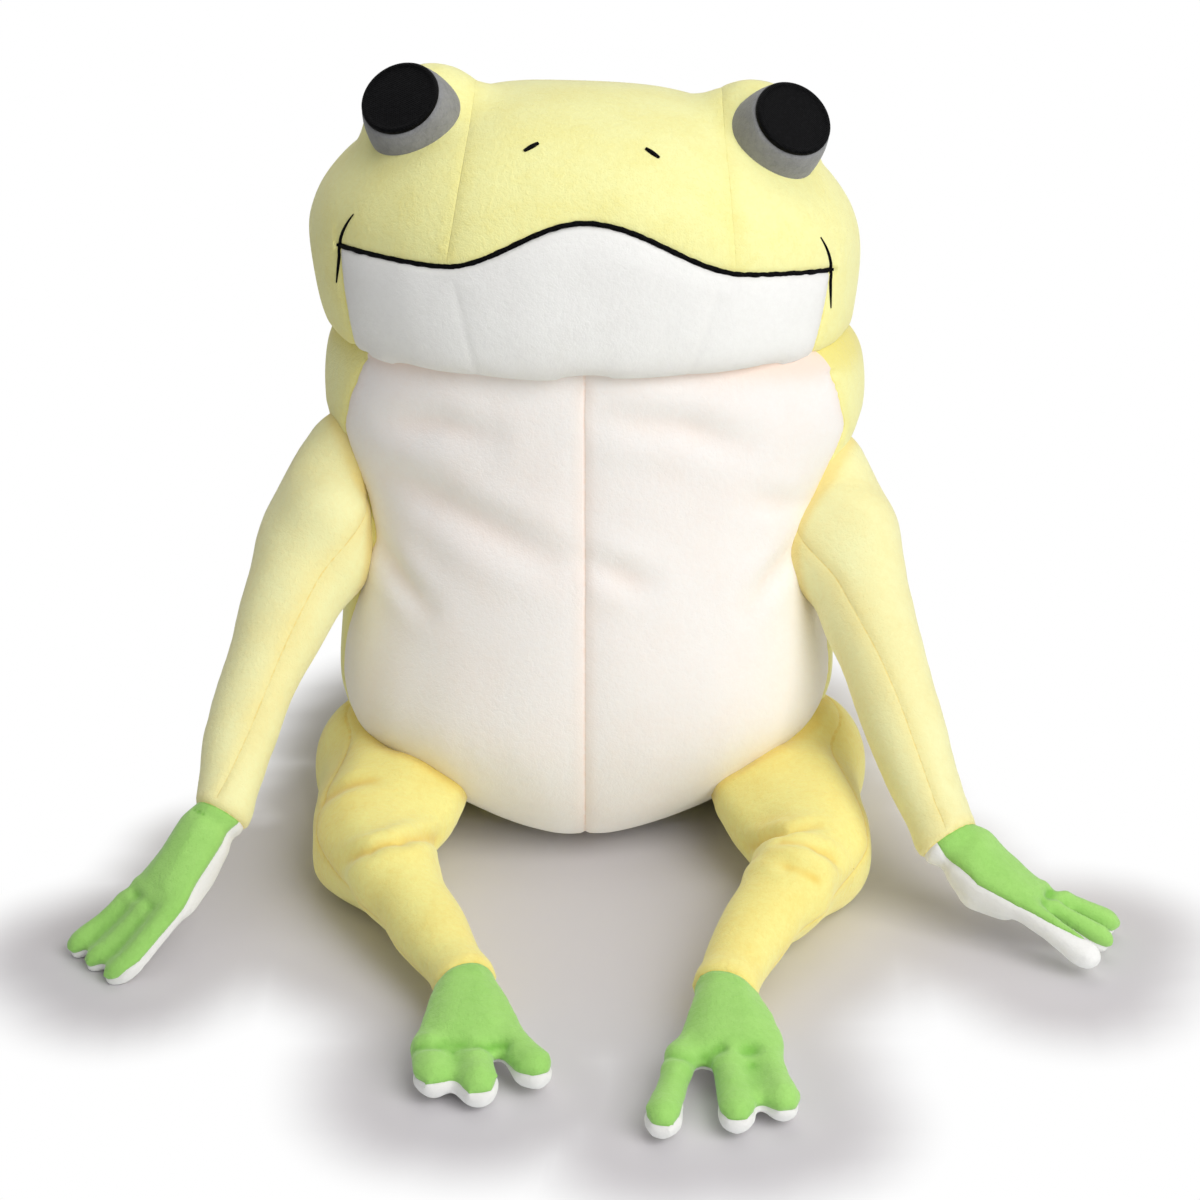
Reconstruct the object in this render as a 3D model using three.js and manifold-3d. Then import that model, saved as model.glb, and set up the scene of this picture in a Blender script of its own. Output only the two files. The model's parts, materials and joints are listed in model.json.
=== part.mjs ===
// A seated plush frog with a big head, a soft belly, hanging arms and folded legs.
// Sizes are in millimetres. +Z is up, the toy faces -Y, and its own left side is +X.
// The origin is the middle of the flat seat that it sits on.
import * as THREE from "three";
import { mergeVertices } from "three/addons/utils/BufferGeometryUtils.js";
import Module from "manifold-3d";

const wasm = await Module();
wasm.setup();

const LEFT = 1;
const RIGHT = -1;
const SIDES = { left: LEFT, right: RIGHT };

// Cloth and fit
const CLOTH = 2.5; // sewn plush cloth with its nap
const GAP = 0.3; // between two pieces that touch
const SWING_GAP = 0.8; // between a limb and the body that it swings past
const RIM_GAP = 2.6; // between a limb's round end and the rim of the cup that turns on it

// Torso: each level has a half width, a half depth and where its middle stands. It leans a little to
// its own left at the shoulders. A squareness of 2 is an ellipse, more is boxier and less is pointed.
const TORSO = {
  seat: { z: 0, halfWidth: 56, halfDepth: 60, middleX: 0, middleY: -8, squareness: 1.8 },
  rump: { z: 9, halfWidth: 77, halfDepth: 84, middleX: 0, middleY: -12, squareness: 1.6 },
  hips: { z: 28, halfWidth: 93, halfDepth: 95, middleX: 0, middleY: -16, squareness: 1.95 },
  belly: { z: 56, halfWidth: 103, halfDepth: 96, middleX: 0, middleY: -18, squareness: 2.6 },
  waist: { z: 98, halfWidth: 99, halfDepth: 91, middleX: 0.5, middleY: -12, squareness: 2.3 },
  chest: { z: 138, halfWidth: 100, halfDepth: 85, middleX: 2.5, middleY: -3, squareness: 2.3 },
  shoulders: { z: 163, halfWidth: 110, halfDepth: 84, middleX: 4.5, middleY: 2, squareness: 2.3 },
  collar: { z: 188, halfWidth: 108, halfDepth: 83, middleX: 4.5, middleY: 4, squareness: 2.3 },
  neck: { z: 234, halfWidth: 86, halfDepth: 68, middleX: 3, middleY: 8, squareness: 2.2 },
};
const BELLY_SEAM_Y = -63; // where the front and back panels meet at the floor
const BELLY_SEAM_LEAN = 0.12; // how far that seam runs back for each millimetre up

// Neck: the head rests on a dome, round about the axis that it nods on and longer along it
const NECK_DOME = 117;
const NECK_DOME_HALF_LENGTH = 160;
const NECK_CENTRE = new THREE.Vector3(0, -14, 104);

// Head, in its own frame
const HEAD_FROM_NECK = new THREE.Vector3(0, 22, 122);
const HEAD_LEAN = 13; // degrees back
const HEAD_TILT = 3; // degrees towards its own left
const HEAD_HALF_WIDTH = 112;
const HEAD_HALF_DEPTH = 92;
const HEAD_CROWN = 65; // middle to crown
const HEAD_CHIN = 80; // middle to the bottom, which is cut by the neck
const CROWN_SQUARENESS = 2.05;
const CHIN_SQUARENESS = 2.8;
const HEAD_PLAN_SQUARENESS = 2.2;
const SIDE_SEAM_X = 58; // the two seams over the forehead
const NAPE_SEAM_Y = 32; // the seam behind the eyes

// Mouth: a raised middle between two dips, level out to the corners
const MOUTH_HALF_WIDTH = 98;
const MOUTH_PEAK_Z = 15;
const MOUTH_DIP_Z = -3;
const MOUTH_DIP_X = 58;
const MOUTH_CORNER_Z = -2;
const MOUTH_STEPS = 24;
const CORD_RADIUS = 1.2;
const MOUTH_GAP = 3.4; // between the two lips, where the cord lies
const CORNER_RISE = 13; // the stitched fold above the mouth corner
const CORNER_DROP = 15;
const NOSTRIL_X = 23;
const NOSTRIL_Z = 41;
const NOSTRIL_HALF_LENGTH = 2.6;
const NOSTRIL_RADIUS = 1.3;
const NOSTRIL_SLANT = 30; // degrees

// Eyes
const MOUND_RADIUS = 29;
const MOUND_AT = new THREE.Vector3(62, -21, 41);
const EYE_AT = new THREE.Vector3(68.8, -39, 44.8);
const EYE_AXIS = new THREE.Vector3(0.4, -0.66, 0.63).normalize();
const EYE_BASE_RADIUS = 19.2;
const EYE_RIM_RADIUS = 15;
const EYE_HEIGHT = 18;
const EYE_ROOT = 9; // the part of the cup inside the mound
const PUPIL_RADIUS = 14.2;
const PUPIL_THICKNESS = 2.4;

// Arms: each step goes from the last station to the next one, with the radius there
const ARM_TOP_Y = -24; // the hinge, at the middle of the arm's root
const ARM_RAISE = 60; // degrees
const ARM_SPLAY = 16; // degrees that the arms swing outwards of straight up
const ARMS = {
  left: {
    root: { out: -3, z: 140, radius: 18 },
    steps: [
      { step: [4, -24, -26], radius: 24.5 },
      { step: [12, -35, -27], radius: 18 },
      { step: [10, -33, -26], radius: 15 },
      { step: [10, -28, -16], radius: 12 },
    ],
  },
  right: {
    root: { out: -2, z: 148, radius: 18 },
    steps: [
      { step: [11, -24, -34], radius: 24.5 },
      { step: [16, -35, -28], radius: 18 },
      { step: [12, -32, -25], radius: 15 },
      { step: [1.5, -24, -14], radius: 12 },
    ],
  },
};

// Legs
const HIP = new THREE.Vector3(80, -48, 14); // low, so that the belly hangs over the thigh
const HIP_RADIUS = 31;
const HIP_HINGE_Y = -60;
const HIP_HINGE_Z = 38;
const HIP_DROP = 60; // degrees
const KNEE_RAISE = 30;
const KNEE_DROP = 20;
const THIGHS = {
  left: [
    { step: [4, -46, 1], radius: 30 },
    { step: [5, -37, 5], radius: 25.5 },
    { step: [-8, -30, 2], radius: 20 },
  ],
  right: [
    { step: [0, -46, 1], radius: 30 },
    { step: [3.5, -32, 5], radius: 25.5 },
    { step: [-8.5, -29, 3], radius: 20.7 },
  ],
};
const SHINS = {
  left: [
    { step: [-18.5, -31, -4], radius: 15 },
    { step: [-10, -27, -2], radius: 12.2 },
  ],
  right: [
    { step: [-15, -28.5, -4], radius: 16 },
    { step: [-15.5, -29.5, -3], radius: 12.5 },
  ],
};

// Hands and feet: a flat palm with three round digits. Each digit stands at x, points spread degrees
// aside and has its round tip this far from its base. Padding thickens the palm's underside.
const HAND = {
  palmLength: 45,
  palmHalfWidth: 16.5,
  palmHalfThickness: 7.5,
  padding: 1.6,
  tipGrowth: 1.08,
  digits: {
    left: [
      { x: -10, spread: -17, reach: 34, radius: 5.8 },
      { x: 0, spread: 1, reach: 33, radius: 5.6 },
      { x: 10, spread: 14, reach: 32, radius: 5.6 },
    ],
    right: [
      { x: -10.5, spread: -6, reach: 31, radius: 5.6 },
      { x: 0, spread: 0, reach: 32, radius: 5.6 },
      { x: 10.5, spread: 6, reach: 32, radius: 5.8 },
    ],
  },
};
const FOOT = {
  palmLength: 41,
  palmHalfWidth: 21,
  palmHalfThickness: 9.5,
  padding: 1,
  tipGrowth: 1.14,
  digits: {
    left: [
      { x: -17, spread: -12, reach: 37, radius: 6.8 },
      { x: -1, spread: 3, reach: 34, radius: 7 },
      { x: 11.5, spread: 12, reach: 27, radius: 6.8 },
    ],
    right: [
      { x: -15.5, spread: 1, reach: 16, radius: 7.6 },
      { x: -0.5, spread: 1, reach: 22, radius: 7.4 },
      { x: 13.5, spread: 25, reach: 17, radius: 7.2 },
    ],
  },
};
const HAND_HEADING = { left: 63, right: 48 }; // degrees outwards from straight ahead
const FOOT_HEADING = { left: 0, right: -7 };
const HAND_ROLL = { left: 6, right: 0 }; // degrees that the inner edge is lifted
const WRIST_BEND = 25; // degrees each way
const ANKLE_BEND = 20;

// How finely the forms are faceted: the outside, and the hidden cloth inside and the filling
const TORSO_FACETS = { outside: { rows: 16, columns: 28 }, inside: { rows: 16, columns: 20 } };
const HEAD_FACETS = { outside: { rows: 14, columns: 30 }, inside: { rows: 12, columns: 24 } };
const LIMB_SIDES = { outside: 12, inside: 8 };
const PALM_SIDES = 8;
const DIGIT_SIDES = 6;
const LIMB_CAP_RINGS = 2;
const DOME_FACETS = { rows: 14, columns: 36 };
const FAR = 400; // reaches past the whole toy

const COLOURS = {
  yellow: { color: "#f6f2a0", roughness: 0.95, metalness: 0 },
  white: { color: "#f2efec", roughness: 0.95, metalness: 0 },
  cream: { color: "#faf0ea", roughness: 0.95, metalness: 0 },
  green: { color: "#a4dc6c", roughness: 0.95, metalness: 0 },
  grey: { color: "#7d7d7d", roughness: 0.95, metalness: 0 },
  black: { color: "#101012", roughness: 0.7, metalness: 0 },
  filling: { color: "#f7f7f4", roughness: 1, metalness: 0 },
};

// Where each joint turns, and about which axis. A turn about RAISING lifts what points forwards.
const RAISING = new THREE.Vector3(-1, 0, 0);
const hinges = { head_nod: { at: NECK_CENTRE, axis: RAISING } };

const radians = THREE.MathUtils.degToRad;
const power = (value, exponent) => Math.sign(value) * Math.abs(value) ** exponent;

// Solids

function solidOf(geometry) {
  const bare = new THREE.BufferGeometry();
  bare.setAttribute("position", geometry.getAttribute("position"));
  bare.setIndex(geometry.index);
  const merged = mergeVertices(bare, 1e-4);
  return new wasm.Manifold(
    new wasm.Mesh({
      numProp: 3,
      vertProperties: merged.attributes.position.array,
      triVerts: new Uint32Array(merged.index.array),
    }),
  );
}

function placed(solid, matrix) {
  return solid.transform(matrix.elements);
}

function box(low, high) {
  const size = high.clone().sub(low);
  const geometry = new THREE.BoxGeometry(size.x, size.y, size.z);
  const middle = low.clone().add(high).multiplyScalar(0.5);
  return solidOf(geometry.translate(middle.x, middle.y, middle.z));
}

// A faceted ball with its poles along X. A hollow one keeps its flats outside the radius.
function ball(centre, radius, { rows, columns }, { hollow = false, lengthwise = 1 } = {}) {
  const grown = hollow ? radius / Math.cos(Math.PI / columns) : radius;
  const geometry = new THREE.SphereGeometry(grown, columns, rows).rotateZ(Math.PI / 2);
  return solidOf(geometry.scale(lengthwise, 1, 1).translate(centre.x, centre.y, centre.z));
}

function middleOf(points) {
  const sum = points.reduce((total, p) => total.add(p), new THREE.Vector3());
  return sum.multiplyScalar(1 / points.length);
}

// A closed solid through rings of equal count, counter-clockwise about the way from first to last.
function loft(rings) {
  const count = rings[0].length;
  const points = rings.flat();
  const triangles = [];
  for (let row = 0; row + 1 < rings.length; row++)
    for (let column = 0; column < count; column++) {
      const a = row * count + column;
      const b = row * count + ((column + 1) % count);
      triangles.push(a, b, b + count, a, b + count, a + count);
    }
  const first = points.push(middleOf(rings[0])) - 1;
  const last = points.push(middleOf(rings.at(-1))) - 1;
  const lastRow = (rings.length - 1) * count;
  for (let column = 0; column < count; column++) {
    const next = (column + 1) % count;
    triangles.push(first, next, column, last, lastRow + column, lastRow + next);
  }
  const geometry = new THREE.BufferGeometry().setFromPoints(points);
  geometry.setIndex(triangles);
  return solidOf(geometry);
}

// A value between evenly spaced stations, on a smooth curve through them.
function smoothAt(values, share) {
  const curve = new THREE.CatmullRomCurve3(values.map((v) => new THREE.Vector3(v, 0, 0)));
  return curve.getPoint(share).x;
}

// A stuffed tube through stations of { at, radius }, with round ends.
function stuffedTube(stations, inset, sides, rowsPerStep = 2, capRings = LIMB_CAP_RINGS) {
  const path = new THREE.CatmullRomCurve3(stations.map((s) => s.at));
  const radii = stations.map((s) => s.radius);
  const rows = (stations.length - 1) * rowsPerStep;
  const along = [];
  for (let row = 0; row <= rows; row++) {
    const share = row / rows;
    along.push({
      at: path.getPoint(share),
      way: path.getTangent(share),
      radius: smoothAt(radii, share) - inset,
    });
  }
  const cap = (end, direction) => {
    const made = [];
    for (let ring = 1; ring <= capRings; ring++) {
      const angle = (ring / (capRings + 0.6)) * (Math.PI / 2);
      made.push({
        at: end.at.clone().addScaledVector(end.way, direction * end.radius * Math.sin(angle)),
        way: end.way,
        radius: end.radius * Math.cos(angle),
      });
    }
    return made;
  };
  const rings = [...cap(along[0], -1).reverse(), ...along, ...cap(along.at(-1), 1)];
  let across = new THREE.Vector3(0, 0, 1).cross(rings[0].way).normalize();
  const points = rings.map(({ at, way, radius }) => {
    across = across.clone().addScaledVector(way, -across.dot(way)).normalize();
    const up = way.clone().cross(across);
    return Array.from({ length: sides }, (_, side) => {
      const angle = ((side + 0.5) / sides) * Math.PI * 2;
      return at
        .clone()
        .addScaledVector(across, radius * Math.cos(angle))
        .addScaledVector(up, radius * Math.sin(angle));
    });
  });
  return loft(points);
}

function limbTube(stations, inset) {
  return stuffedTube(stations, inset, inset > 0 ? LIMB_SIDES.inside : LIMB_SIDES.outside);
}

// A limb's cloth and its filling, both flat where the limb lies on the floor.
function limbCover(stations) {
  return limbTube(stations, 0).intersect(above(0)).subtract(limbTube(stations, CLOTH).intersect(above(CLOTH)));
}

function limbFilling(stations) {
  return limbTube(stations, CLOTH + GAP).intersect(above(CLOTH + GAP));
}

function thread(points, radius, rowsPerStep = 1) {
  return stuffedTube(points.map((at) => ({ at, radius })), 0, 6, rowsPerStep, 1);
}

// The stations of a limb, from where it starts and the steps that it takes.
function limbStations(start, radius, steps, side) {
  const stations = [{ at: start, radius }];
  for (const { step, radius: next } of steps) {
    const [x, y, z] = step;
    const from = stations.at(-1).at;
    stations.push({ at: from.clone().add(new THREE.Vector3(side * x, y, z)), radius: next });
  }
  return stations;
}

function turnAbout(pivot, axis, degrees) {
  const there = new THREE.Matrix4().makeTranslation(pivot.x, pivot.y, pivot.z);
  const turn = new THREE.Matrix4().makeRotationAxis(axis, radians(degrees));
  const back = new THREE.Matrix4().makeTranslation(-pivot.x, -pivot.y, -pivot.z);
  return there.multiply(turn).multiply(back);
}

// What the larger piece takes up, seen from a limb that swings by these angles about its hinge.
function sweptBy(larger, hinge, angles) {
  const copies = angles.map((angle) => placed(larger, turnAbout(hinge.at, hinge.axis, -angle)));
  return wasm.Manifold.union(copies);
}

function halfSpace(point, normal) {
  const slab = box(new THREE.Vector3(-FAR, -FAR, 0), new THREE.Vector3(FAR, FAR, 2 * FAR));
  const turn = new THREE.Quaternion().setFromUnitVectors(new THREE.Vector3(0, 0, 1), normal);
  return placed(slab, new THREE.Matrix4().compose(point, turn, new THREE.Vector3(1, 1, 1)));
}

function above(z) {
  return halfSpace(new THREE.Vector3(0, 0, z), new THREE.Vector3(0, 0, 1));
}

// Torso

const torsoLevels = Object.values(TORSO);

function torsoSection(share) {
  const level = (key) => smoothAt(torsoLevels.map((l) => l[key]), share);
  return {
    z: level("z"),
    halfWidth: level("halfWidth"),
    halfDepth: level("halfDepth"),
    middleX: level("middleX"),
    middleY: level("middleY"),
    squareness: level("squareness"),
  };
}

function torsoSolid(inset) {
  const { rows, columns } = inset > 0 ? TORSO_FACETS.inside : TORSO_FACETS.outside;
  const rings = [];
  for (let row = 0; row <= rows; row++) {
    const section = torsoSection(row / rows);
    const exponent = 2 / section.squareness;
    const z = section.z + inset * Math.max(0, 1 - section.z / TORSO.belly.z);
    const ring = Array.from({ length: columns }, (_, column) => {
      const angle = ((column + 0.5) / columns) * Math.PI * 2;
      const x = (section.halfWidth - inset) * power(Math.cos(angle), exponent);
      const y = (section.halfDepth - inset) * power(Math.sin(angle), exponent);
      return new THREE.Vector3(section.middleX + x, section.middleY + y, z);
    });
    rings.push(ring);
  }
  return loft(rings);
}

// Where the torso's side is at a height and a distance from front to back.
function torsoSideAt(side, y, z) {
  let share = 0;
  while (share < 1 && torsoSection(share).z < z) share += 1 / 200;
  const section = torsoSection(share);
  const depth = Math.abs((y - section.middleY) / section.halfDepth) ** section.squareness;
  return section.middleX + side * section.halfWidth * (1 - depth) ** (1 / section.squareness);
}

const lengthwise = NECK_DOME_HALF_LENGTH / NECK_DOME;
const neckDome = ball(NECK_CENTRE, NECK_DOME, DOME_FACETS, { lengthwise });
const neckHollow = ball(NECK_CENTRE, NECK_DOME + GAP, DOME_FACETS, { hollow: true, lengthwise });
const belowNeck = box(new THREE.Vector3(-FAR, -FAR, -FAR), new THREE.Vector3(FAR, FAR, NECK_CENTRE.z));
const underDome = neckDome.add(belowNeck);
const torsoOuter = torsoSolid(0).intersect(underDome);
const torsoGrown = torsoSolid(-GAP).intersect(underDome);
const torsoSwing = torsoSolid(-SWING_GAP).intersect(underDome);

function torsoPieces() {
  const shell = torsoOuter.subtract(torsoSolid(CLOTH));
  const forward = new THREE.Vector3(0, -1, BELLY_SEAM_LEAN).normalize();
  const seam = new THREE.Vector3(0, BELLY_SEAM_Y, 0);
  const front = halfSpace(seam.clone().addScaledVector(forward, GAP / 2), forward);
  const behind = forward.clone().negate();
  const back = halfSpace(seam.clone().addScaledVector(behind, GAP / 2), behind);
  const belly = shell.intersect(front);
  const half = (side) => halfSpace(new THREE.Vector3((side * GAP) / 2, 0, 0), new THREE.Vector3(side, 0, 0));
  return {
    belly_cover_left: belly.intersect(half(LEFT)),
    belly_cover_right: belly.intersect(half(RIGHT)),
    back_cover: shell.intersect(back),
    torso_filling: torsoSolid(CLOTH + GAP).intersect(underDome),
  };
}

// Head

const headPlace = new THREE.Matrix4()
  .makeTranslation(NECK_CENTRE.clone().add(HEAD_FROM_NECK))
  .multiply(new THREE.Matrix4().makeRotationY(radians(HEAD_TILT)))
  .multiply(new THREE.Matrix4().makeRotationX(-radians(HEAD_LEAN)));

// How wide a level of the head is, as a share of its widest level.
function headLevel(z) {
  const upper = z >= 0;
  const exponent = upper ? CROWN_SQUARENESS : CHIN_SQUARENESS;
  const height = upper ? HEAD_CROWN : HEAD_CHIN;
  return Math.max(0, 1 - Math.abs(z / height) ** exponent) ** (1 / exponent);
}

// A point on the front of the head.
function headFront(x, z, out = 0) {
  const share = headLevel(z);
  const across = Math.min(1, Math.abs(x / (HEAD_HALF_WIDTH * share)));
  const depth = (1 - across ** HEAD_PLAN_SQUARENESS) ** (1 / HEAD_PLAN_SQUARENESS);
  return new THREE.Vector3(x, -HEAD_HALF_DEPTH * share * depth - out, z);
}

function headBall(inset) {
  const { rows, columns } = inset > 0 ? HEAD_FACETS.inside : HEAD_FACETS.outside;
  const rings = [];
  for (let row = 1; row < rows; row++) {
    const latitude = (row / rows - 0.5) * Math.PI;
    const upper = latitude >= 0;
    const exponent = 2 / (upper ? CROWN_SQUARENESS : CHIN_SQUARENESS);
    const height = (upper ? HEAD_CROWN : HEAD_CHIN) - inset;
    const share = Math.cos(latitude) ** exponent;
    rings.push(
      Array.from({ length: columns }, (_, column) => {
        const angle = ((column + 0.5) / columns) * Math.PI * 2;
        const x = (HEAD_HALF_WIDTH - inset) * share * power(Math.cos(angle), 2 / HEAD_PLAN_SQUARENESS);
        const y = (HEAD_HALF_DEPTH - inset) * share * power(Math.sin(angle), 2 / HEAD_PLAN_SQUARENESS);
        return new THREE.Vector3(x, y, height * power(Math.sin(latitude), exponent));
      }),
    );
  }
  return loft(rings);
}

const mirrored = (vector, side) => new THREE.Vector3(side * vector.x, vector.y, vector.z);

function headSolid(inset) {
  const facets = inset > 0 ? { rows: 8, columns: 10 } : { rows: 10, columns: 14 };
  const mounds = [LEFT, RIGHT].map((side) => ball(mirrored(MOUND_AT, side), MOUND_RADIUS - inset, facets));
  return wasm.Manifold.union([headBall(inset), ...mounds]);
}

// The height of the mouth line: a raised cosine in the middle, level beyond the dips.
function mouthZ(x) {
  const away = Math.abs(x);
  if (away > MOUTH_DIP_X) {
    const share = (away - MOUTH_DIP_X) / (MOUTH_HALF_WIDTH - MOUTH_DIP_X);
    return MOUTH_DIP_Z + share * (MOUTH_CORNER_Z - MOUTH_DIP_Z);
  }
  const share = (1 + Math.cos((away / MOUTH_DIP_X) * Math.PI)) / 2;
  return MOUTH_DIP_Z + share * (MOUTH_PEAK_Z - MOUTH_DIP_Z);
}

// The front of the head below the mouth line, grown by a margin.
function jawRegion(margin) {
  const outline = [];
  for (let step = 0; step <= MOUTH_STEPS; step++) {
    const x = MOUTH_HALF_WIDTH * ((2 * step) / MOUTH_STEPS - 1);
    outline.push(new THREE.Vector2(x + Math.sign(x) * margin, mouthZ(x) + margin));
  }
  const low = -HEAD_CHIN - CLOTH;
  const foot = MOUTH_HALF_WIDTH * 0.9 + margin;
  outline.push(new THREE.Vector2(foot, low), new THREE.Vector2(-foot, low));
  const shape = new THREE.Shape(outline);
  const geometry = new THREE.ExtrudeGeometry(shape, { depth: FAR, bevelEnabled: false });
  return solidOf(geometry.rotateX(Math.PI / 2).translate(0, -HEAD_HALF_DEPTH * 0.1 + margin, 0));
}

function mouthLine() {
  return Array.from({ length: MOUTH_STEPS + 1 }, (_, step) => {
    const x = MOUTH_HALF_WIDTH * ((2 * step) / MOUTH_STEPS - 1);
    return headFront(x, mouthZ(x));
  });
}

function cornerLine(side) {
  const x = side * (MOUTH_HALF_WIDTH + CORD_RADIUS);
  return [CORNER_RISE, 0, -CORNER_DROP].map((rise) => {
    const bow = side * 1.5 * (1 - Math.abs(rise) / CORNER_DROP);
    return headFront(x + bow - side * 2, MOUTH_CORNER_Z + rise);
  });
}

function eyeFrame(side) {
  const axis = mirrored(EYE_AXIS, side);
  const turn = new THREE.Quaternion().setFromUnitVectors(new THREE.Vector3(0, 1, 0), axis);
  const unit = new THREE.Vector3(1, 1, 1);
  return headPlace.clone().multiply(new THREE.Matrix4().compose(mirrored(EYE_AT, side), turn, unit));
}

// A lathe's profile goes up the outside, from the axis back to the axis.
function turned(profile, segments) {
  const points = profile.map(([radius, height]) => new THREE.Vector2(radius, height));
  return solidOf(new THREE.LatheGeometry(points, segments));
}

function eyePieces(side) {
  const shoulder = EYE_HEIGHT * 0.5;
  const cup = turned(
    [
      [0, -EYE_ROOT],
      [EYE_BASE_RADIUS - 1, -EYE_ROOT],
      [EYE_BASE_RADIUS, 0],
      [EYE_BASE_RADIUS - 0.4, shoulder * 0.6],
      [EYE_RIM_RADIUS + 1.6, shoulder * 1.5],
      [EYE_RIM_RADIUS, EYE_HEIGHT],
      [0, EYE_HEIGHT],
    ],
    24,
  );
  const low = EYE_HEIGHT + GAP;
  const pupil = turned(
    [
      [0, low],
      [PUPIL_RADIUS, low],
      [PUPIL_RADIUS, low + PUPIL_THICKNESS * 0.5],
      [PUPIL_RADIUS - 0.8, low + PUPIL_THICKNESS],
      [0, low + PUPIL_THICKNESS],
    ],
    24,
  );
  const frame = eyeFrame(side);
  return { cup: placed(cup, frame).subtract(placed(headSolid(-GAP), headPlace)), pupil: placed(pupil, frame) };
}

function nostril(side) {
  const along = new THREE.Vector3(side * Math.cos(radians(NOSTRIL_SLANT)), 0, -Math.sin(radians(NOSTRIL_SLANT)));
  const ends = [-1, 0, 1].map((end) => {
    const offset = along.clone().multiplyScalar(end * NOSTRIL_HALF_LENGTH);
    return headFront(side * NOSTRIL_X + offset.x, NOSTRIL_Z + offset.z, NOSTRIL_RADIUS * 0.4);
  });
  return thread(ends, NOSTRIL_RADIUS).subtract(headSolid(-GAP));
}

function headPieces() {
  const outer = headSolid(0);
  const mouth = mouthLine();
  const cordRoom = thread(mouth, CORD_RADIUS + GAP);
  const toHead = headPlace.clone().invert();
  const hollow = placed(neckHollow, toHead);
  const shell = outer.subtract(headSolid(CLOTH)).subtract(hollow);
  const across = new THREE.Vector3(1, 0, 0);
  const behind = new THREE.Vector3(0, 1, 0);
  const nape = halfSpace(new THREE.Vector3(0, NAPE_SEAM_Y, 0), behind);
  const napeGrown = halfSpace(new THREE.Vector3(0, NAPE_SEAM_Y - GAP, 0), behind);
  const face = shell.subtract(jawRegion(MOUTH_GAP / 2)).subtract(napeGrown);
  const beyond = (x, side) => halfSpace(new THREE.Vector3(side * x, 0, 0), across.clone().multiplyScalar(side));
  const pieces = {
    forehead_cover: face.subtract(beyond(SIDE_SEAM_X, LEFT)).subtract(beyond(SIDE_SEAM_X, RIGHT)),
    cheek_cover_left: face.intersect(beyond(SIDE_SEAM_X + GAP, LEFT)),
    cheek_cover_right: face.intersect(beyond(SIDE_SEAM_X + GAP, RIGHT)),
    jaw_cover: shell.intersect(jawRegion(-MOUTH_GAP / 2)),
    nape_cover: shell.intersect(nape),
    head_filling: headSolid(CLOTH + GAP).subtract(hollow),
    mouth_cord: thread(mouth, CORD_RADIUS),
  };
  for (const [name, side] of Object.entries(SIDES)) {
    const corner = thread(cornerLine(side), CORD_RADIUS * 0.8, 2);
    pieces["mouth_corner_" + name] = corner.subtract(headSolid(-GAP)).subtract(cordRoom);
    pieces["nostril_" + name] = nostril(side);
  }
  for (const name of Object.keys(pieces)) pieces[name] = placed(pieces[name], headPlace);
  for (const [name, side] of Object.entries(SIDES)) {
    const { cup, pupil } = eyePieces(side);
    pieces["eye_cup_" + name] = cup;
    pieces["pupil_" + name] = pupil;
  }
  return pieces;
}

// Hands and feet: modelled with the digits along -Y and the top along +Z

function digitEnds(form, { x, spread, reach }) {
  const heading = radians(spread);
  const base = new THREE.Vector3(x, -form.palmLength * 0.93, 0);
  const way = new THREE.Vector3(Math.sin(heading), -Math.cos(heading), 0);
  return { base, tip: base.clone().addScaledVector(way, reach) };
}

function paw(form, digits, rootRadius, rootGap) {
  const { palmLength, palmHalfWidth, palmHalfThickness, padding, tipGrowth } = form;
  const stations = [
    { share: 0, width: rootRadius, thickness: rootRadius, under: 1 },
    {
      share: 0.45,
      width: (rootRadius + palmHalfWidth) * 0.52,
      thickness: (rootRadius + palmHalfThickness) * 0.5,
      under: padding,
    },
    { share: 0.85, width: palmHalfWidth, thickness: palmHalfThickness, under: padding },
    { share: 1.08, width: palmHalfWidth * 0.9, thickness: palmHalfThickness * 0.5, under: 1 },
  ];
  const rings = stations.map(({ share, width, thickness, under }) => {
    const y = -(rootGap + share * (palmLength - rootGap));
    return Array.from({ length: PALM_SIDES }, (_, side) => {
      const angle = ((side + 0.5) / PALM_SIDES) * Math.PI * 2;
      const height = thickness * Math.sin(angle) * (Math.sin(angle) < 0 ? under : 1);
      return new THREE.Vector3(width * Math.cos(angle), y, height);
    });
  });
  const tubes = digits.map((digit) => {
    const { base, tip } = digitEnds(form, digit);
    const along = [
      { at: base, radius: digit.radius },
      { at: base.clone().lerp(tip, 0.55), radius: digit.radius * 0.96 },
      { at: tip, radius: digit.radius * tipGrowth },
    ];
    return stuffedTube(along, 0, DIGIT_SIDES, 1, 1);
  });
  return wasm.Manifold.union([loft(rings), ...tubes]);
}

// Turns a paw to its heading, rolls it and dips it so that its lowest digit touches the floor.
function pawPlace(root, form, digits, headingDegrees, rollDegrees, side) {
  const roll = side * radians(rollDegrees);
  const dips = digits.map((digit) => {
    const { tip } = digitEnds(form, digit);
    const drop = tip.x * Math.sin(roll);
    const room = root.z - digit.radius * form.tipGrowth;
    return Math.asin(room / Math.hypot(tip.y, drop)) - Math.atan2(drop, -tip.y);
  });
  return new THREE.Matrix4()
    .makeTranslation(root.x, root.y, root.z)
    .multiply(new THREE.Matrix4().makeRotationZ(side * radians(headingDegrees)))
    .multiply(new THREE.Matrix4().makeRotationX(Math.min(...dips)))
    .multiply(new THREE.Matrix4().makeRotationY(roll));
}

// A limb's round end turns in a cup of the next piece. This is how far the cup's rim stands off.
function rimStandOff(radius, restingBend, bend) {
  return radius * Math.tan((restingBend + radians(bend)) / 2) + RIM_GAP;
}

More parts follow.
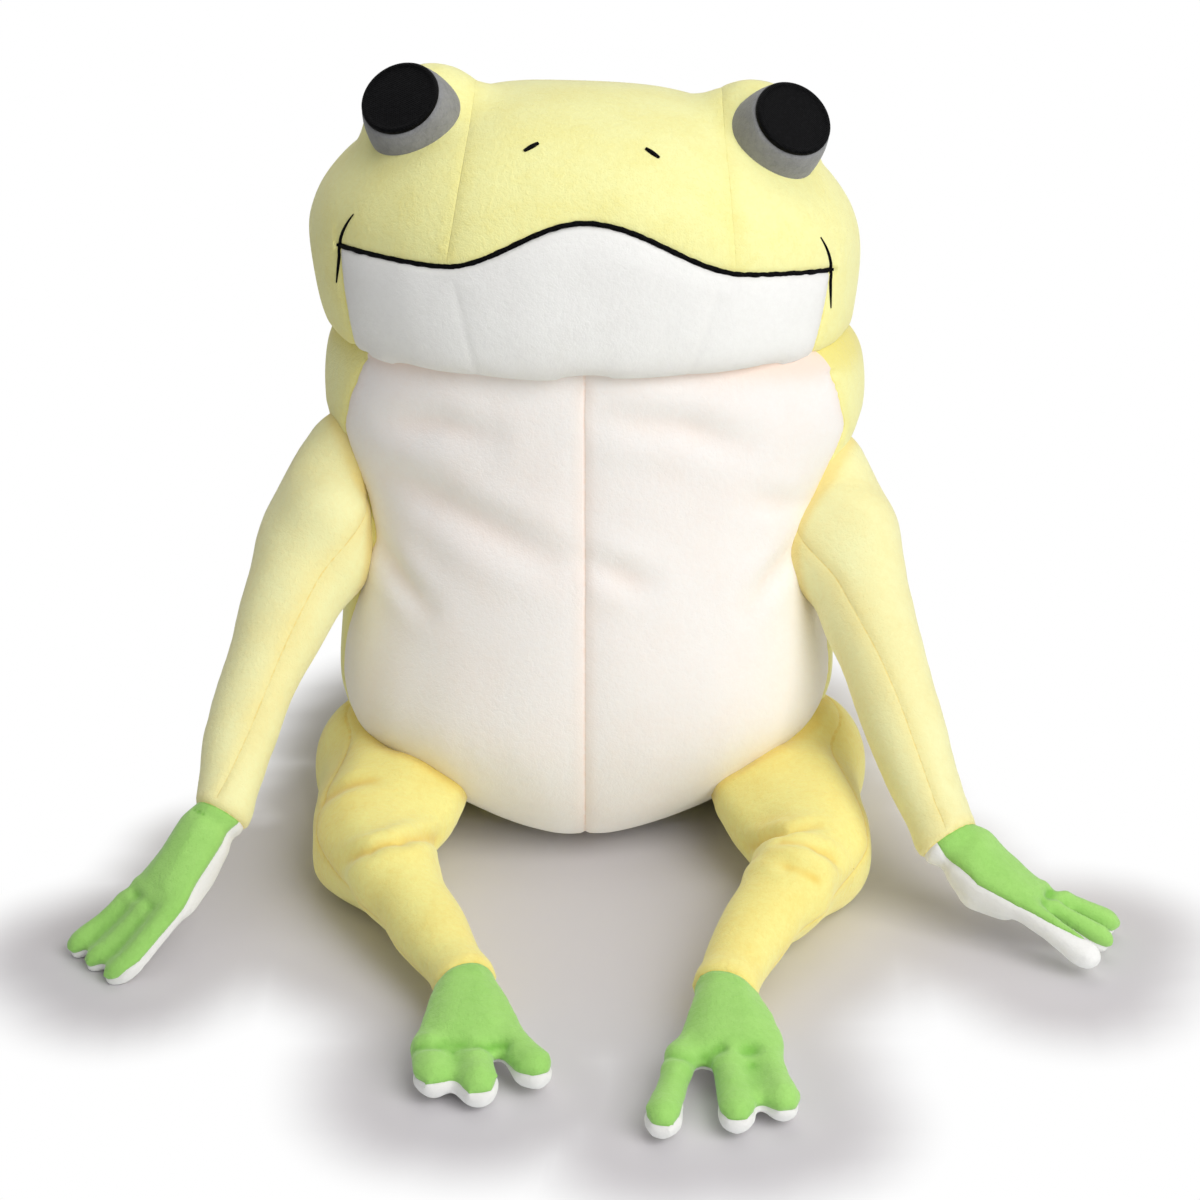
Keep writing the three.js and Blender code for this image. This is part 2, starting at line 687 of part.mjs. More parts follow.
function pawPieces(form, name, limb, { heading, roll, bend }, topName, soleName) {
  const root = limb.at(-1);
  const digits = form.digits[name];
  const limbWay = root.at.clone().sub(limb.at(-2).at).normalize();
  const place = pawPlace(root.at, form, digits, heading, roll, SIDES[name]);
  const pawWay = new THREE.Vector3(0, -1, 0).transformDirection(place);
  const rootGap = rimStandOff(root.radius, limbWay.angleTo(pawWay), bend);
  const knob = ball(root.at, root.radius + GAP, { rows: 8, columns: 12 }, { hollow: true });
  const whole = paw(form, digits, root.radius, rootGap);
  const half = (sign) => halfSpace(new THREE.Vector3(0, 0, (sign * GAP) / 2), new THREE.Vector3(0, 0, sign));
  const finish = (solid) => placed(solid, place).subtract(knob).intersect(above(0));
  return {
    [topName + name]: finish(whole.intersect(half(1))),
    [soleName + name]: finish(whole.intersect(half(-1))),
  };
}

// Arms

function armPieces(name, side) {
  const { root, steps } = ARMS[name];
  const rootX = torsoSideAt(side, ARM_TOP_Y, root.z) + side * root.out;
  const start = new THREE.Vector3(rootX, ARM_TOP_Y, root.z);
  const stations = limbStations(start, root.radius, steps, side);
  const axis = RAISING.clone().applyAxisAngle(new THREE.Vector3(0, 1, 0), side * radians(ARM_SPLAY));
  const hinge = { at: start, axis };
  const away = torsoGrown.add(sweptBy(torsoSwing, hinge, [ARM_RAISE / 3, (2 * ARM_RAISE) / 3, ARM_RAISE]));
  const heading = HAND_HEADING[name];
  hinges["shoulder_" + name] = hinge;
  hinges["wrist_" + name] = { at: stations.at(-1).at, axis: acrossAxis(heading, side) };
  return {
    ["arm_cover_" + name]: limbTube(stations, 0).subtract(limbTube(stations, CLOTH)).subtract(away),
    ["arm_filling_" + name]: limbTube(stations, CLOTH + GAP).subtract(away),
    ...pawPieces(HAND, name, stations, { heading, roll: HAND_ROLL[name], bend: WRIST_BEND }, "hand_top_", "hand_palm_"),
  };
}

// The level axis that raises a paw that points along a heading.
function acrossAxis(headingDegrees, side) {
  return RAISING.clone().applyAxisAngle(new THREE.Vector3(0, 0, 1), side * radians(headingDegrees));
}

// Legs

function legPieces(name, side) {
  const thigh = limbStations(mirrored(HIP, side), HIP_RADIUS, THIGHS[name], side);
  const knee = thigh.at(-1);
  const shin = limbStations(knee.at, knee.radius, SHINS[name], side);
  const hipHinge = { at: new THREE.Vector3(0, HIP_HINGE_Y, HIP_HINGE_Z), axis: RAISING };
  const away = torsoGrown.add(sweptBy(torsoSwing, hipHinge, [-HIP_DROP / 3, (-2 * HIP_DROP) / 3, -HIP_DROP]));
  const thighWay = knee.at.clone().sub(thigh.at(-2).at).normalize();
  const shinWay = shin[1].at.clone().sub(knee.at).normalize();
  const rim = rimStandOff(knee.radius, thighWay.angleTo(shinWay), Math.max(KNEE_RAISE, KNEE_DROP));
  const knob = ball(knee.at, knee.radius + GAP, { rows: 10, columns: 16 }, { hollow: true });
  const beyondKnee = halfSpace(knee.at.clone().addScaledVector(shinWay, rim), shinWay);
  const lower = (solid) => solid.intersect(beyondKnee).subtract(knob);
  const heading = FOOT_HEADING[name];
  hinges["hip_" + name] = hipHinge;
  hinges["knee_" + name] = { at: knee.at, axis: RAISING };
  hinges["ankle_" + name] = { at: shin.at(-1).at, axis: acrossAxis(heading, side) };
  return {
    ["thigh_cover_" + name]: limbCover(thigh).subtract(away),
    ["thigh_filling_" + name]: limbFilling(thigh).subtract(away),
    ["shin_cover_" + name]: lower(limbCover(shin)),
    ["shin_filling_" + name]: lower(limbFilling(shin)),
    ...pawPieces(FOOT, name, shin, { heading, roll: 0, bend: ANKLE_BEND }, "foot_top_", "foot_sole_"),
  };
}

// Assembly

function colourOf(name) {
  if (name.includes("filling")) return "filling";
  if (name.startsWith("belly")) return "cream";
  if (name.startsWith("jaw") || name.includes("palm") || name.includes("sole")) return "white";
  if (name.includes("_top_")) return "green";
  if (name.startsWith("eye_cup")) return "grey";
  if (/^(pupil|mouth|nostril)/.test(name)) return "black";
  return "yellow";
}

function meshOf(name, solid) {
  const { numProp, vertProperties, triVerts } = solid.getMesh();
  const positions = new Float32Array((vertProperties.length / numProp) * 3);
  for (let i = 0; i * 3 < positions.length; i++)
    positions.set(vertProperties.subarray(i * numProp, i * numProp + 3), i * 3);
  const geometry = new THREE.BufferGeometry();
  geometry.setAttribute("position", new THREE.BufferAttribute(positions, 3));
  geometry.setIndex(new THREE.BufferAttribute(triVerts, 1));
  geometry.computeVertexNormals();
  const mesh = new THREE.Mesh(geometry, new THREE.MeshStandardMaterial(COLOURS[colourOf(name)]));
  mesh.name = name;
  return mesh;
}

const frog = new THREE.Group();
frog.name = "plush_frog";
const pieces = { ...torsoPieces(), ...headPieces() };
for (const [name, side] of Object.entries(SIDES)) {
  Object.assign(pieces, armPieces(name, side), legPieces(name, side));
}
for (const [name, solid] of Object.entries(pieces)) frog.add(meshOf(name, solid));
frog.userData.hinges = hinges;

export default frog;
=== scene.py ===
"""Sews the soft covers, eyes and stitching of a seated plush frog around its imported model."""

import json
import math

import bmesh
import bpy
import numpy as np
from bpy.props import FloatProperty, FloatVectorProperty, IntProperty, PointerProperty
from mathutils import Matrix, Vector
from mathutils.bvhtree import BVHTree
from mathutils.kdtree import KDTree


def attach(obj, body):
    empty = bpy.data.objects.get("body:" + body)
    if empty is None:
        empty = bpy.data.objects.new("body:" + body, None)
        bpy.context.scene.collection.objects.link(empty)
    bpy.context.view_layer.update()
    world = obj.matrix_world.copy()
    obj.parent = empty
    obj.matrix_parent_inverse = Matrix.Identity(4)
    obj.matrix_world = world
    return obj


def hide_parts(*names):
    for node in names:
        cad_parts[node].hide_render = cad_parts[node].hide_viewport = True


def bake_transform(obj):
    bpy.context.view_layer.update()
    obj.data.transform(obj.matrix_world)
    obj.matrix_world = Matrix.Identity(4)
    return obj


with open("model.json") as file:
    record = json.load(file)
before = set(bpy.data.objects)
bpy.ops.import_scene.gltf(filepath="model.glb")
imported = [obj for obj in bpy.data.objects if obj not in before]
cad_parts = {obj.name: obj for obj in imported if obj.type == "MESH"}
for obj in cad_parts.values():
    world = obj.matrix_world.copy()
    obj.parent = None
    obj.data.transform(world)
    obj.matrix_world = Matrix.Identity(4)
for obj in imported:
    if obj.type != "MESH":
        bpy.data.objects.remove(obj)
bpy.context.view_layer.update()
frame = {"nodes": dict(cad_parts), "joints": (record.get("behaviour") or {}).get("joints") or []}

bl_info = {
    "name": "Plush frog",
    "version": (1, 0, 0),
    "blender": (4, 5, 0),
    "location": "3D View > Sidebar > Frog",
    "description": "Soft panels, eyes, stitching and a plain studio for a seated plush frog",
    "category": "Object",
}

MM = 0.001
SIDES = {"left": 1.0, "right": -1.0}
JOINTS = {joint["name"]: Vector(joint["pos_m"]) for joint in frame["joints"]}
SWELL_FRAMES = 20

# The head's own frame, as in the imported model
HEAD_CENTRE = Vector((0, 8, 226)) * MM
HEAD_LEAN = math.radians(13)
HEAD_TILT = math.radians(3)
HEAD_PLACE = (
    Matrix.Translation(HEAD_CENTRE)
    @ Matrix.Rotation(HEAD_TILT, 4, "Y")
    @ Matrix.Rotation(-HEAD_LEAN, 4, "X")
)
NECK_CENTRE = JOINTS["head_nod"]
NECK_RADIUS = 117 * MM
NECK_LENGTHWISE = 160 / 117

# Where the belly meets the back: height, and how far forward, in millimetres
BELLY_EDGE = (
    (0, -63), (28, -60), (47, -53), (60, -46), (75, -42), (90, -46), (99, -49), (110, -52), (121, -53),
    (128, -51), (135, -47), (142, -43), (152, -39.5), (163, -37), (172, -41), (185, -43.5), (196, -43),
    (234, -42),
)
# The folds of the belly: points as (x, z) on its front, the depth and half width of the fold
BELLY_FOLDS = (
    (((-76, 174), (-56, 177), (-37, 175)), 2.3, 6),
    (((8, 183), (37, 179), (62, 169)), 2.3, 6),
    (((-76, 151), (-56, 146), (-40, 140), (-6, 127)), 2.7, 7),
    (((2, 128), (13, 124), (24, 120)), 2.2, 5),
    (((66, 147), (84, 138)), 1.4, 5),
    (((-82, 122), (-73, 113), (-63, 106)), 2.0, 5),
    (((86, 122), (74, 114), (66, 106)), 1.8, 5),
)
# The folds of the legs and feet, as points in millimetres, with depth and half width
LEG_FOLDS = {
    "left": (
        (((62, -128, 22), (66, -137, 29), (77, -148, 41), (90, -144, 43)), 2.6, 3.4),
        (((76, -158, 41), (89, -161, 40), (101, -158, 33)), 2.0, 3.2),
        (((65, -155, 33), (77, -171, 38), (88, -174, 35)), 1.4, 3.2),
        (((54, -93, 28), (62, -92, 36), (72, -90, 42)), 2.0, 4),
        (((28, -263, 13), (34, -266, 17), (41, -266, 14)), 1.2, 2.4),
        (((43, -263, 14), (48.5, -262, 17), (54, -263, 14)), 1.2, 2.4),
        (((55, -262, 14), (60, -262, 16), (66, -260, 13)), 1.2, 2.4),
    ),
    "right": (
        (
            (
                (-96, -154, 30), (-90, -158, 36), (-81, -161, 40), (-70, -157, 42), (-63, -145, 38),
                (-58, -126, 25),
            ), 2.8, 3.4,
        ),
        (((-104, -108, 33), (-96, -112, 41), (-84, -112, 45)), 1.4, 5),
        (((-61, -258, 13), (-54, -260, 17.5), (-49, -258, 14)), 1.2, 2.4),
        (((-46, -257, 14), (-40, -259, 17), (-34, -258, 14)), 1.2, 2.4),
        (((-34, -257, 14), (-29, -257, 15), (-24, -256, 12)), 1.2, 2.4),
    ),
}
# The balls of stuffing that round out the root of each arm, from its joint, in millimetres
ARM_ROOT = (-4, 0, 0)
ARM_ROOT_RADIUS = 18.5
ARM_SWELL = {"left": (1, -24, -26), "right": (-9, -24, -34)}
ARM_SWELL_RADIUS = 25
ARMPIT = {"left": (5, -24, -16), "right": (-5, -25, -20)}
ARMPIT_RADIUS = 19
WRIST_RADIUS = 12
# How far each arm swings outwards, in millimetres, at shares of its length from shoulder to wrist
ARM_LEAN = {
    "left": ((0, 0), (0.2, 3), (0.45, 2.4), (0.8, 2.8), (1, 2.8), (1.4, 1.6)),
    "right": ((0, 0), (0.2, 2.8), (0.5, 1.6), (0.8, -0.2), (1, 2.4), (1.4, -1.5)),
}
# How full each arm is, at shares of its length
ARM_FULLNESS = {
    "left": ((0.15, 1), (0.35, 0.93), (0.6, 1.05), (0.85, 1.1), (1, 1.1), (1.14, 1)),
    "right": ((0.15, 1), (0.35, 0.95), (0.6, 0.96), (0.85, 1.0), (1, 1.06), (1.14, 1)),
}
# How the cloth of each hand hangs, in millimetres: at distances from the wrist, how far it moves along
# the hand, upwards, and towards the body at its inner and at its outer side
HAND_HANG = {
    "left": (
        (-70, 0, 0, 0, 0), (0, 5, -5.5, 0, -4), (25, 4, -7, 0.5, -3), (45, 3, -2, -2, 5), (60, 1, 0, -4, 3),
        (80, 1, 2, -7, 0),
    ),
    "right": (
        (-30, 0, 0, 0, 0), (5, 0, 0, 0, 3), (30, 0, 0, 0.5, 6.5), (42, 0, 0, 3.5, 6), (54, 0, 0, 2, 3.5),
        (68, 0, 0, 0, 1), (82, -1, 0, -4, 0),
    ),
}
HAND_HALF_WIDTH = 16
HAND_STRETCH = {"left": 1.0, "right": 1.07}
STRETCH_START = 15
# How far the white of each palm comes up round the inner edge of the hand: the distance from the hand's
# middle line where it starts, at distances from the wrist, then how steeply and how far in it rises
PALM_EDGE = {
    "left": ((0, 9), (20, 9.5), (45, 12), (60, 13), (70, 12), (78, 5)),
    "right": ((0, 14), (20, 20), (80, 20)),
}
PALM_RISE = 1.5
PALM_RISE_WIDTH = 12
HAND_FOLDS = {
    "left": ((((184, -150, 20), (180, -157, 21), (175, -167, 22)), 1.6, 2.2),),
    "right": ((((-176, -157, 22), (-171, -162, 23), (-165, -170, 22), (-159, -175, 21)), 1.7, 2.2),),
}
# Where the sleeve seam starts from the shoulder, and where it ends from the cuff, in millimetres
SLEEVE_START = 20
SLEEVE_END = -3
# Where the toe tips begin, from the ankle, and over what length the sole's edge then climbs from below
# the middle of the foot to above it
TOE_START = {"left": 61, "right": 46}
TOE_LENGTH = 14
SOLE_EDGE = 2.2
# The balls that round out each leg, and how far behind the knee the thigh's cover ends
HIP = {"left": (84, -50, 17), "right": (80, -48, 15)}
HIP_RADIUS = 32
KNEE_RADIUS = 21
ANKLE_RADIUS = 12.8
KNEE_CUT = 12
# How far the cloth of each leg is lifted under the thigh and on its top, and pulled towards the body
# along the shin, outside the knee and at the groin
THIGH_LIFT = 21
THIGH_SWELL = 3
SHIN_PULL = 6
KNEE_PULL = 8
GROIN_PULL = 6
# Where the cuffs are, from the wrist or ankle, and how thick the cloth of the paws is
CUFF = 5
PAW_CLOTH = 1.2
# How far the cloth stands out from the filling, and how far it may swell
COVER = 2.7
LIMB_COVER = 2.2
PAW_COVER = 0.25
BODY_SWELL = 4
LIMB_SWELL = 3
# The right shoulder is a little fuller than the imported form, and the right side of the jaw is slimmer
SHOULDER_SHIFT = 2
SHOULDER_HEIGHT = 176
JAW_SHIFT = 4
# The soft dip beside a seam: its depth and half width, in millimetres
SEAM_DIP = (0.9, 7)
# The painted shade where a limb meets the torso: its strength, and how far from the torso it stays and fades
TORSO_SHADE = (0.6, 4, 3)
# How strongly the cloth is bent, in the mesh's own measure, where a fold gets its full painted shade
FULL_FOLD = 90
# The mouth line in the head's frame
MOUTH_HALF_WIDTH = 98
MOUTH_PEAK = 15
MOUTH_DIP = (-5, -2.5)
MOUTH_DIP_AT = (57, 63)
MOUTH_CORNER = -2
MOUTH_CORNER_RISE = 13
MOUTH_CORNER_DROP = 15
SIDE_SEAM = {1: 57, -1: 53}
BROW_LEAN = 0.12
NAPE_SEAM = 32
FACE_EDGE = -4
# The darts of the jaw: half width at the mouth, and how much they spread upwards
DART = 52
DART_SPREAD = 0.28
NOSTRIL = (23, 41)
NOSTRIL_SLANT = math.radians(30)
# How the eyes are turned and moved, in millimetres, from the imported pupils, so that they look forward
EYE_TURN = (0.04, 0.13, 0.03)
EYE_SHIFT = {"left": (0.2, 0, -1.4), "right": (2.4, 0, -1.4)}
# Profiles of the eyes, as (radius, height)
EYE_CUP = (
    (19.2, -24), (19.3, -19), (19.0, -14), (18.4, -9.5), (17.7, -6), (17.0, -3.6), (16.6, -2.4),
    (16.1, -1.6), (15.2, -1.1), (10, -1.0),
)
PUPIL = (
    (14.4, -1.6), (15.4, -1.3), (15.75, -0.6), (15.7, 0.3), (15.3, 0.95), (14.6, 1.25), (13.9, 1.15),
    (13.5, 0.75), (12.9, 0.7), (8, 0.95), (4, 1.1), (0.5, 1.15),
)
CAMERA_PLACE = (0.006, -1.2382, 0.6474)
CAMERA_TILT = math.radians(65)
FLOOR_BOUNCE = (0.86, 0.87, 0.90)


def length_property(name, description, value):
    return FloatProperty(name=name, description=description, default=value, unit="LENGTH")


def power_property(name, description, value):
    return FloatProperty(name=name, description=description, default=value)


def colour_property(name, description, value):
    return FloatVectorProperty(
        name=name, description=description, default=value, subtype="COLOR", size=3, min=0, max=1
    )


class FrogSizes(bpy.types.PropertyGroup):
    cloth: length_property("Cloth", "Thickness of the plush cloth", 0.002)
    body_voxel: length_property("Body detail", "Grid that the torso is sewn on", 0.004)
    head_voxel: length_property("Head detail", "Grid that the head is sewn on", 0.0032)
    limb_voxel: length_property("Limb detail", "Grid that arms and legs are sewn on", 0.002)
    stuffing: power_property("Stuffing", "Pressure that swells the covers", 4.0)
    seam_depth: length_property("Seam depth", "How far a seam pulls the cloth in", 0.0009)
    seam_width: length_property("Seam width", "Half width of the dip at a seam", 0.0013)
    cord_radius: length_property("Mouth cord", "Radius of the black cord of the mouth", 0.00105)
    cup_sides: IntProperty(
        name="Eye sides", description="How many sides the round eyes have", default=72, min=24, max=128
    )


class FrogColours(bpy.types.PropertyGroup):
    yellow: colour_property("Yellow", "Plush of the head and back", (0.965, 0.95, 0.455))
    # Darker yellow: painted shade in the folds and seam dips of head and back and where the head rests on
    # the neck, and the far end of their mottling
    yellow_shade_and_mottle: colour_property("Yellow folds", "Yellow plush in its folds", (0.88, 0.76, 0.20))
    arm: colour_property("Arm yellow", "Plush of the arms", (0.94, 0.925, 0.505))
    # Leg yellow: a deeper, more orange copy of the yellow, with the legs' shade and the bounce onto them
    # painted into the colour
    limb: colour_property("Limb yellow", "Plush of the legs", (0.97, 0.905, 0.33))
    # Deeper orange yellow: painted shade in the folds and seam dips of arms and legs and where they meet the
    # torso, and the far end of their mottling
    limb_shade_and_mottle: colour_property("Limb folds", "Limb plush in its folds", (0.88, 0.62, 0.12))
    cream: colour_property("Cream", "Plush of the belly", (0.955, 0.92, 0.885))
    # Pinkish cream: painted shade in the belly's folds and seam dips and in the crease under the chin, and
    # the far end of its mottling
    cream_shade_and_mottle: colour_property("Cream folds", "Belly plush in its folds", (0.95, 0.72, 0.58))
    white: colour_property("White", "Plush of the jaw, palms and soles", (0.92, 0.915, 0.885))
    # Greyer white: painted shade in the folds and seam dips of jaw, palms and soles, and the far end of
    # their mottling
    white_shade_and_mottle: colour_property("White folds", "White plush in its folds", (0.74, 0.71, 0.68))
    green: colour_property("Green", "Plush of the hands and feet", (0.41, 0.74, 0.195))
    # Darker green: painted shade in the folds and seam dips of hands and feet, and the far end of their
    # mottling
    green_shade_and_mottle: colour_property("Green folds", "Green plush in its folds", (0.20, 0.50, 0.07))
    grey: colour_property("Grey", "Felt of the eye cups", (0.31, 0.31, 0.315))
    black: colour_property("Black", "Thread of the pupils, mouth and nostrils", (0.0012, 0.0012, 0.0015))


class FrogStudio(bpy.types.PropertyGroup):
    key: power_property("Key lamp", "Power of the large lamp in front, at the right", 26.0)
    fill: power_property("Fill lamp", "Power of the lamp at the left", 0.1)
    top: power_property("Top lamp", "Power of the lamp overhead", 5.5)
    front: power_property("Front lamp", "Power of the high lamp in front", 5.5)
    sky: power_property("Sky", "Strength of the even light all round", 0.285)
    lens: FloatProperty(name="Lens", description="Focal length", default=97.5, unit="CAMERA")
    # floor: the paper's colour near the toy as the camera sees it, darker than the paper that light bounces
    # from: a painted shadow round the toy
    floor: colour_property("Floor", "Colour of the floor", (0.655, 0.63, 0.65))


# Selecting and editing

def deselect_all():
    bpy.ops.object.select_all(action="DESELECT")


def pick(obj):
    deselect_all()
    obj.select_set(True)
    bpy.context.view_layer.objects.active = obj


def apply_modifier(obj, modifier):
    pick(obj)
    bpy.ops.object.modifier_apply(modifier=modifier.name)


def edit(obj, *steps):
    """Runs edit-mode steps on the whole mesh."""
    pick(obj)
    bpy.ops.object.mode_set(mode="EDIT")
    bpy.ops.mesh.select_all(action="SELECT")
    for step in steps:
        step()
    bpy.ops.object.mode_set(mode="OBJECT")


def read(items, name, width=3, kind=float):
    """One property of every item, as rows of numbers, or as a plain list where width is 1."""
    values = np.empty(len(items) * width, kind)
    items.foreach_get(name, values)
    return values.reshape(-1, width) if width > 1 else values


def points_of(obj):
    return read(obj.data.vertices, "co")


def move_points(obj, co):
    obj.data.vertices.foreach_set("co", co.ravel())
    obj.data.update()


def normals_of(obj):
    return read(obj.data.vertex_normals, "vector")


def store(obj, name, values):
    attribute = obj.data.attributes.get(name) or obj.data.attributes.new(name, "FLOAT", "POINT")
    attribute.data.foreach_set("value", np.asarray(values, np.float32))


def unit(vector):
    vector = np.asarray(vector, float)
    return vector / np.linalg.norm(vector)


def between(values, start, end, top=1.0):
    """How far each value is on its way from start to end, both in millimetres: from 0 up to top."""
    return np.clip((values / MM - start) / (end - start), 0, top)


def edges_of(obj):
    return read(obj.data.edges, "vertices", 2, int)


def spread(values, edges, times):
    """Averages each point's value with its neighbours'."""
    count = np.bincount(edges.ravel(), minlength=len(values))
    for _ in range(times):
        total = np.bincount(edges[:, 0], values[edges[:, 1]], len(values))
        total += np.bincount(edges[:, 1], values[edges[:, 0]], len(values))
        values = (values + total) / (1 + count)
    return values


def ball(place, radius):
    deselect_all()
    bpy.ops.mesh.primitive_uv_sphere_add(segments=24, ring_count=16, radius=radius * MM, location=place)
    bpy.ops.object.transform_apply(location=True, rotation=True, scale=True)
    return bpy.context.object


def copy_of(node, grow=0.0):
    """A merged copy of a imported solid, grown along its normals."""
    obj = bpy.data.objects.new("copy_" + node, frame["nodes"][node].data.copy())
    bpy.context.scene.collection.objects.link(obj)
    obj.data.materials.clear()
    edit(obj, lambda: bpy.ops.mesh.remove_doubles(threshold=1e-5))
    if grow:
        modifier = obj.modifiers.new("Grow", "DISPLACE")
        modifier.mid_level = 0
        modifier.strength = grow
        apply_modifier(obj, modifier)
    return obj


def joined(name, parts):
    deselect_all()
    for part in parts:
        part.select_set(True)
    bpy.context.view_layer.objects.active = parts[0]
    if len(parts) > 1:
        bpy.ops.object.join()
    obj = bpy.context.object
    obj.name = obj.data.name = name
    return obj


def keep_outer_skin(obj):
    """Deletes every island but the largest, such as a bubble left inside by the remesh."""
    bm = bmesh.new()
    bm.from_mesh(obj.data)
    bm.verts.ensure_lookup_table()
    seen, islands = set(), []
    for start in bm.verts:
        if start in seen:
            continue
        island, queue = [], [start]
        seen.add(start)
        while queue:
            vert = queue.pop()
            island.append(vert)
            for edge in vert.link_edges:
                other = edge.other_vert(vert)
                if other not in seen:
                    seen.add(other)
                    queue.append(other)
        islands.append(island)
    islands.sort(key=len)
    for island in islands[:-1]:
        bmesh.ops.delete(bm, geom=island, context="VERTS")
    bm.to_mesh(obj.data)
    bm.free()


def remesh(obj, voxel):
    modifier = obj.modifiers.new("Even grid", "REMESH")
    modifier.mode = "VOXEL"
    modifier.voxel_size = voxel
    apply_modifier(obj, modifier)
    keep_outer_skin(obj)


def smooth(obj, repeat, share=None):
    """Evens out the surface, by a share of each point's own where given, and gives back the size that
    this takes."""
    before, edges = points_of(obj), edges_of(obj)
    move = np.stack([spread(before[:, axis], edges, repeat) for axis in range(3)], axis=1) - before
    if share is not None:
        move *= share(before)[:, None]
    move_points(obj, before + move)
    normals = normals_of(obj)
    lost = spread(-np.sum(move * normals, axis=1), edges, repeat)
    move_points(obj, before + move + normals * lost[:, None])


def subdivide(obj):
    modifier = obj.modifiers.new("Finer", "SUBSURF")
    modifier.levels = modifier.render_levels = 1
    apply_modifier(obj, modifier)


def swell(obj, pressure, cap, held):
    """Fills the cover with stuffing: cloth under pressure, held where held is 1, moving cap at most."""
    before = points_of(obj)
    group = obj.vertex_groups.new(name="held")
    for index in np.nonzero(held > 0.02)[0]:
        group.add([int(index)], float(held[index]), "REPLACE")
    pick(obj)
    cloth = obj.modifiers.new("Stuffing", "CLOTH")
    cloth.settings.quality = 4
    cloth.settings.use_pressure = True
    cloth.settings.uniform_pressure_force = pressure
    cloth.settings.effector_weights.gravity = 0
    cloth.settings.vertex_group_mass = group.name
    cloth.collision_settings.use_collision = False
    cloth.point_cache.frame_start = 1
    cloth.point_cache.frame_end = SWELL_FRAMES
    for number in range(1, SWELL_FRAMES + 1):
        bpy.context.scene.frame_set(number)
    apply_modifier(obj, cloth)
    bpy.context.scene.frame_set(1)
    moved = points_of(obj) - before
    length = np.linalg.norm(moved, axis=1)
    limit = np.minimum(1, cap / np.maximum(length, 1e-9))
    move_points(obj, before + moved * limit[:, None])
    obj.vertex_groups.clear()


def stand_on_floor(obj):
    co = points_of(obj)
    co[:, 2] = np.maximum(co[:, 2], 0.3 * MM)
    move_points(obj, co)


# Seams

class Seam:
    """A sewn line: where a level surface meets the cover. Its height above the surface is measured by a
    function, and where says which points it may cut."""

    def __init__(self, level, axis, where=None, depth=1.0, soft=1.0, faint=0.0):
        self.level = level
        self.axis = unit(axis)
        self.where = where
        self.depth = depth
        self.soft = soft
        self.faint = faint

    def gap(self, co):
        """Signed distance to the seam, about, and far where it doesn't run."""
        gap = self.level(co)
        if self.where is not None:
            gap = np.where(self.where(co), gap, np.where(gap < 0, -1.0, 1.0))
        return gap


def plane_seam(point, normal, **rest):
    point, normal = np.asarray(point, float), unit(normal)
    return Seam(lambda co: (co - point) @ normal, normal, **rest)


def cut(obj, seam):
    """Adds edges where the seam runs, by shifting the mesh so that the seam is level, and back."""
    co = points_of(obj)
    shift = seam.level(co) - co @ seam.axis
    lifted = co + shift[:, None] * seam.axis
    height = lifted @ seam.axis
    near = np.abs(height) < 0.35 * MM
    if seam.where is not None:
        near &= seam.where(co)
    lifted[near] -= np.outer(height[near], seam.axis)
    store(obj, "shift", shift)
    move_points(obj, lifted)
    edit(
        obj,
        lambda: bpy.ops.mesh.bisect(
            plane_co=(0, 0, 0), plane_no=tuple(seam.axis), threshold=0.02 * MM
        ),
    )
    shift = read(obj.data.attributes["shift"].data, "value", 1)
    move_points(obj, points_of(obj) - shift[:, None] * seam.axis)
    obj.data.attributes.remove(obj.data.attributes["shift"])


def seam_distance(co, seams):
    return np.min([np.abs(seam.gap(co)) + seam.faint * MM for seam in seams], axis=0)


def sew(obj, seams, sizes):
    """Pulls the cloth in along its seams, a soft dip and a sharp line. The places from before are kept,
    because they say exactly on which side of a seam a point is."""
    co, normals = points_of(obj), normals_of(obj)
    flat = obj.data.attributes.new("unsewn", "FLOAT_VECTOR", "POINT")
    flat.data.foreach_set("vector", co.ravel())
    depth = np.zeros(len(co))
    dip, reach = SEAM_DIP
    for seam in seams:
        away = np.abs(seam.gap(co))
        soft = dip * MM * seam.soft * np.exp(-((away / (reach * MM)) ** 2))
        sharp = sizes.seam_depth * seam.depth * np.exp(-((away / sizes.seam_width) ** 2))
        depth = np.maximum(depth, soft + sharp)
    move_points(obj, co - normals * depth[:, None])


def beside(places, line):
    """How far each place is from a line of points in millimetres, and its share of the way along it."""
    line = np.asarray(line, float) * MM
    away, along = np.full(len(places), 1.0), np.zeros(len(places))
    lengths = np.linalg.norm(line[1:] - line[:-1], axis=1)
    done = 0.0
    for a, b, length in zip(line, line[1:], lengths):
        share = np.clip((places - a) @ (b - a) / length**2, 0, 1)
        distance = np.linalg.norm(places - a - share[:, None] * (b - a), axis=1)
        along = np.where(distance < away, (done + share * length) / lengths.sum(), along)
        away = np.minimum(away, distance)
        done += length
    return away, along


def fold(obj, lines, flat=None):
    """Presses soft folds into the cloth, each with a swell on either side. flat gives a point's place
    on the sheet that the lines are drawn on, where that isn't space itself."""
    co, normals = points_of(obj), normals_of(obj)
    sheet, facing = flat(co) if flat else (co, 1.0)
    depth = np.zeros(len(co))
    for line, deep, wide in lines:
        away, along = beside(sheet, line)
        fade = np.sin(np.pi * np.clip(0.12 + 0.76 * along, 0, 1))
        width = wide * MM
        valley = np.exp(-((away / width) ** 2))
        ridge = 0.4 * np.exp(-(((away - 1.9 * width) / width) ** 2))
        depth += deep * MM * fade * (valley - ridge) * facing
    move_points(obj, co - normals * depth[:, None])


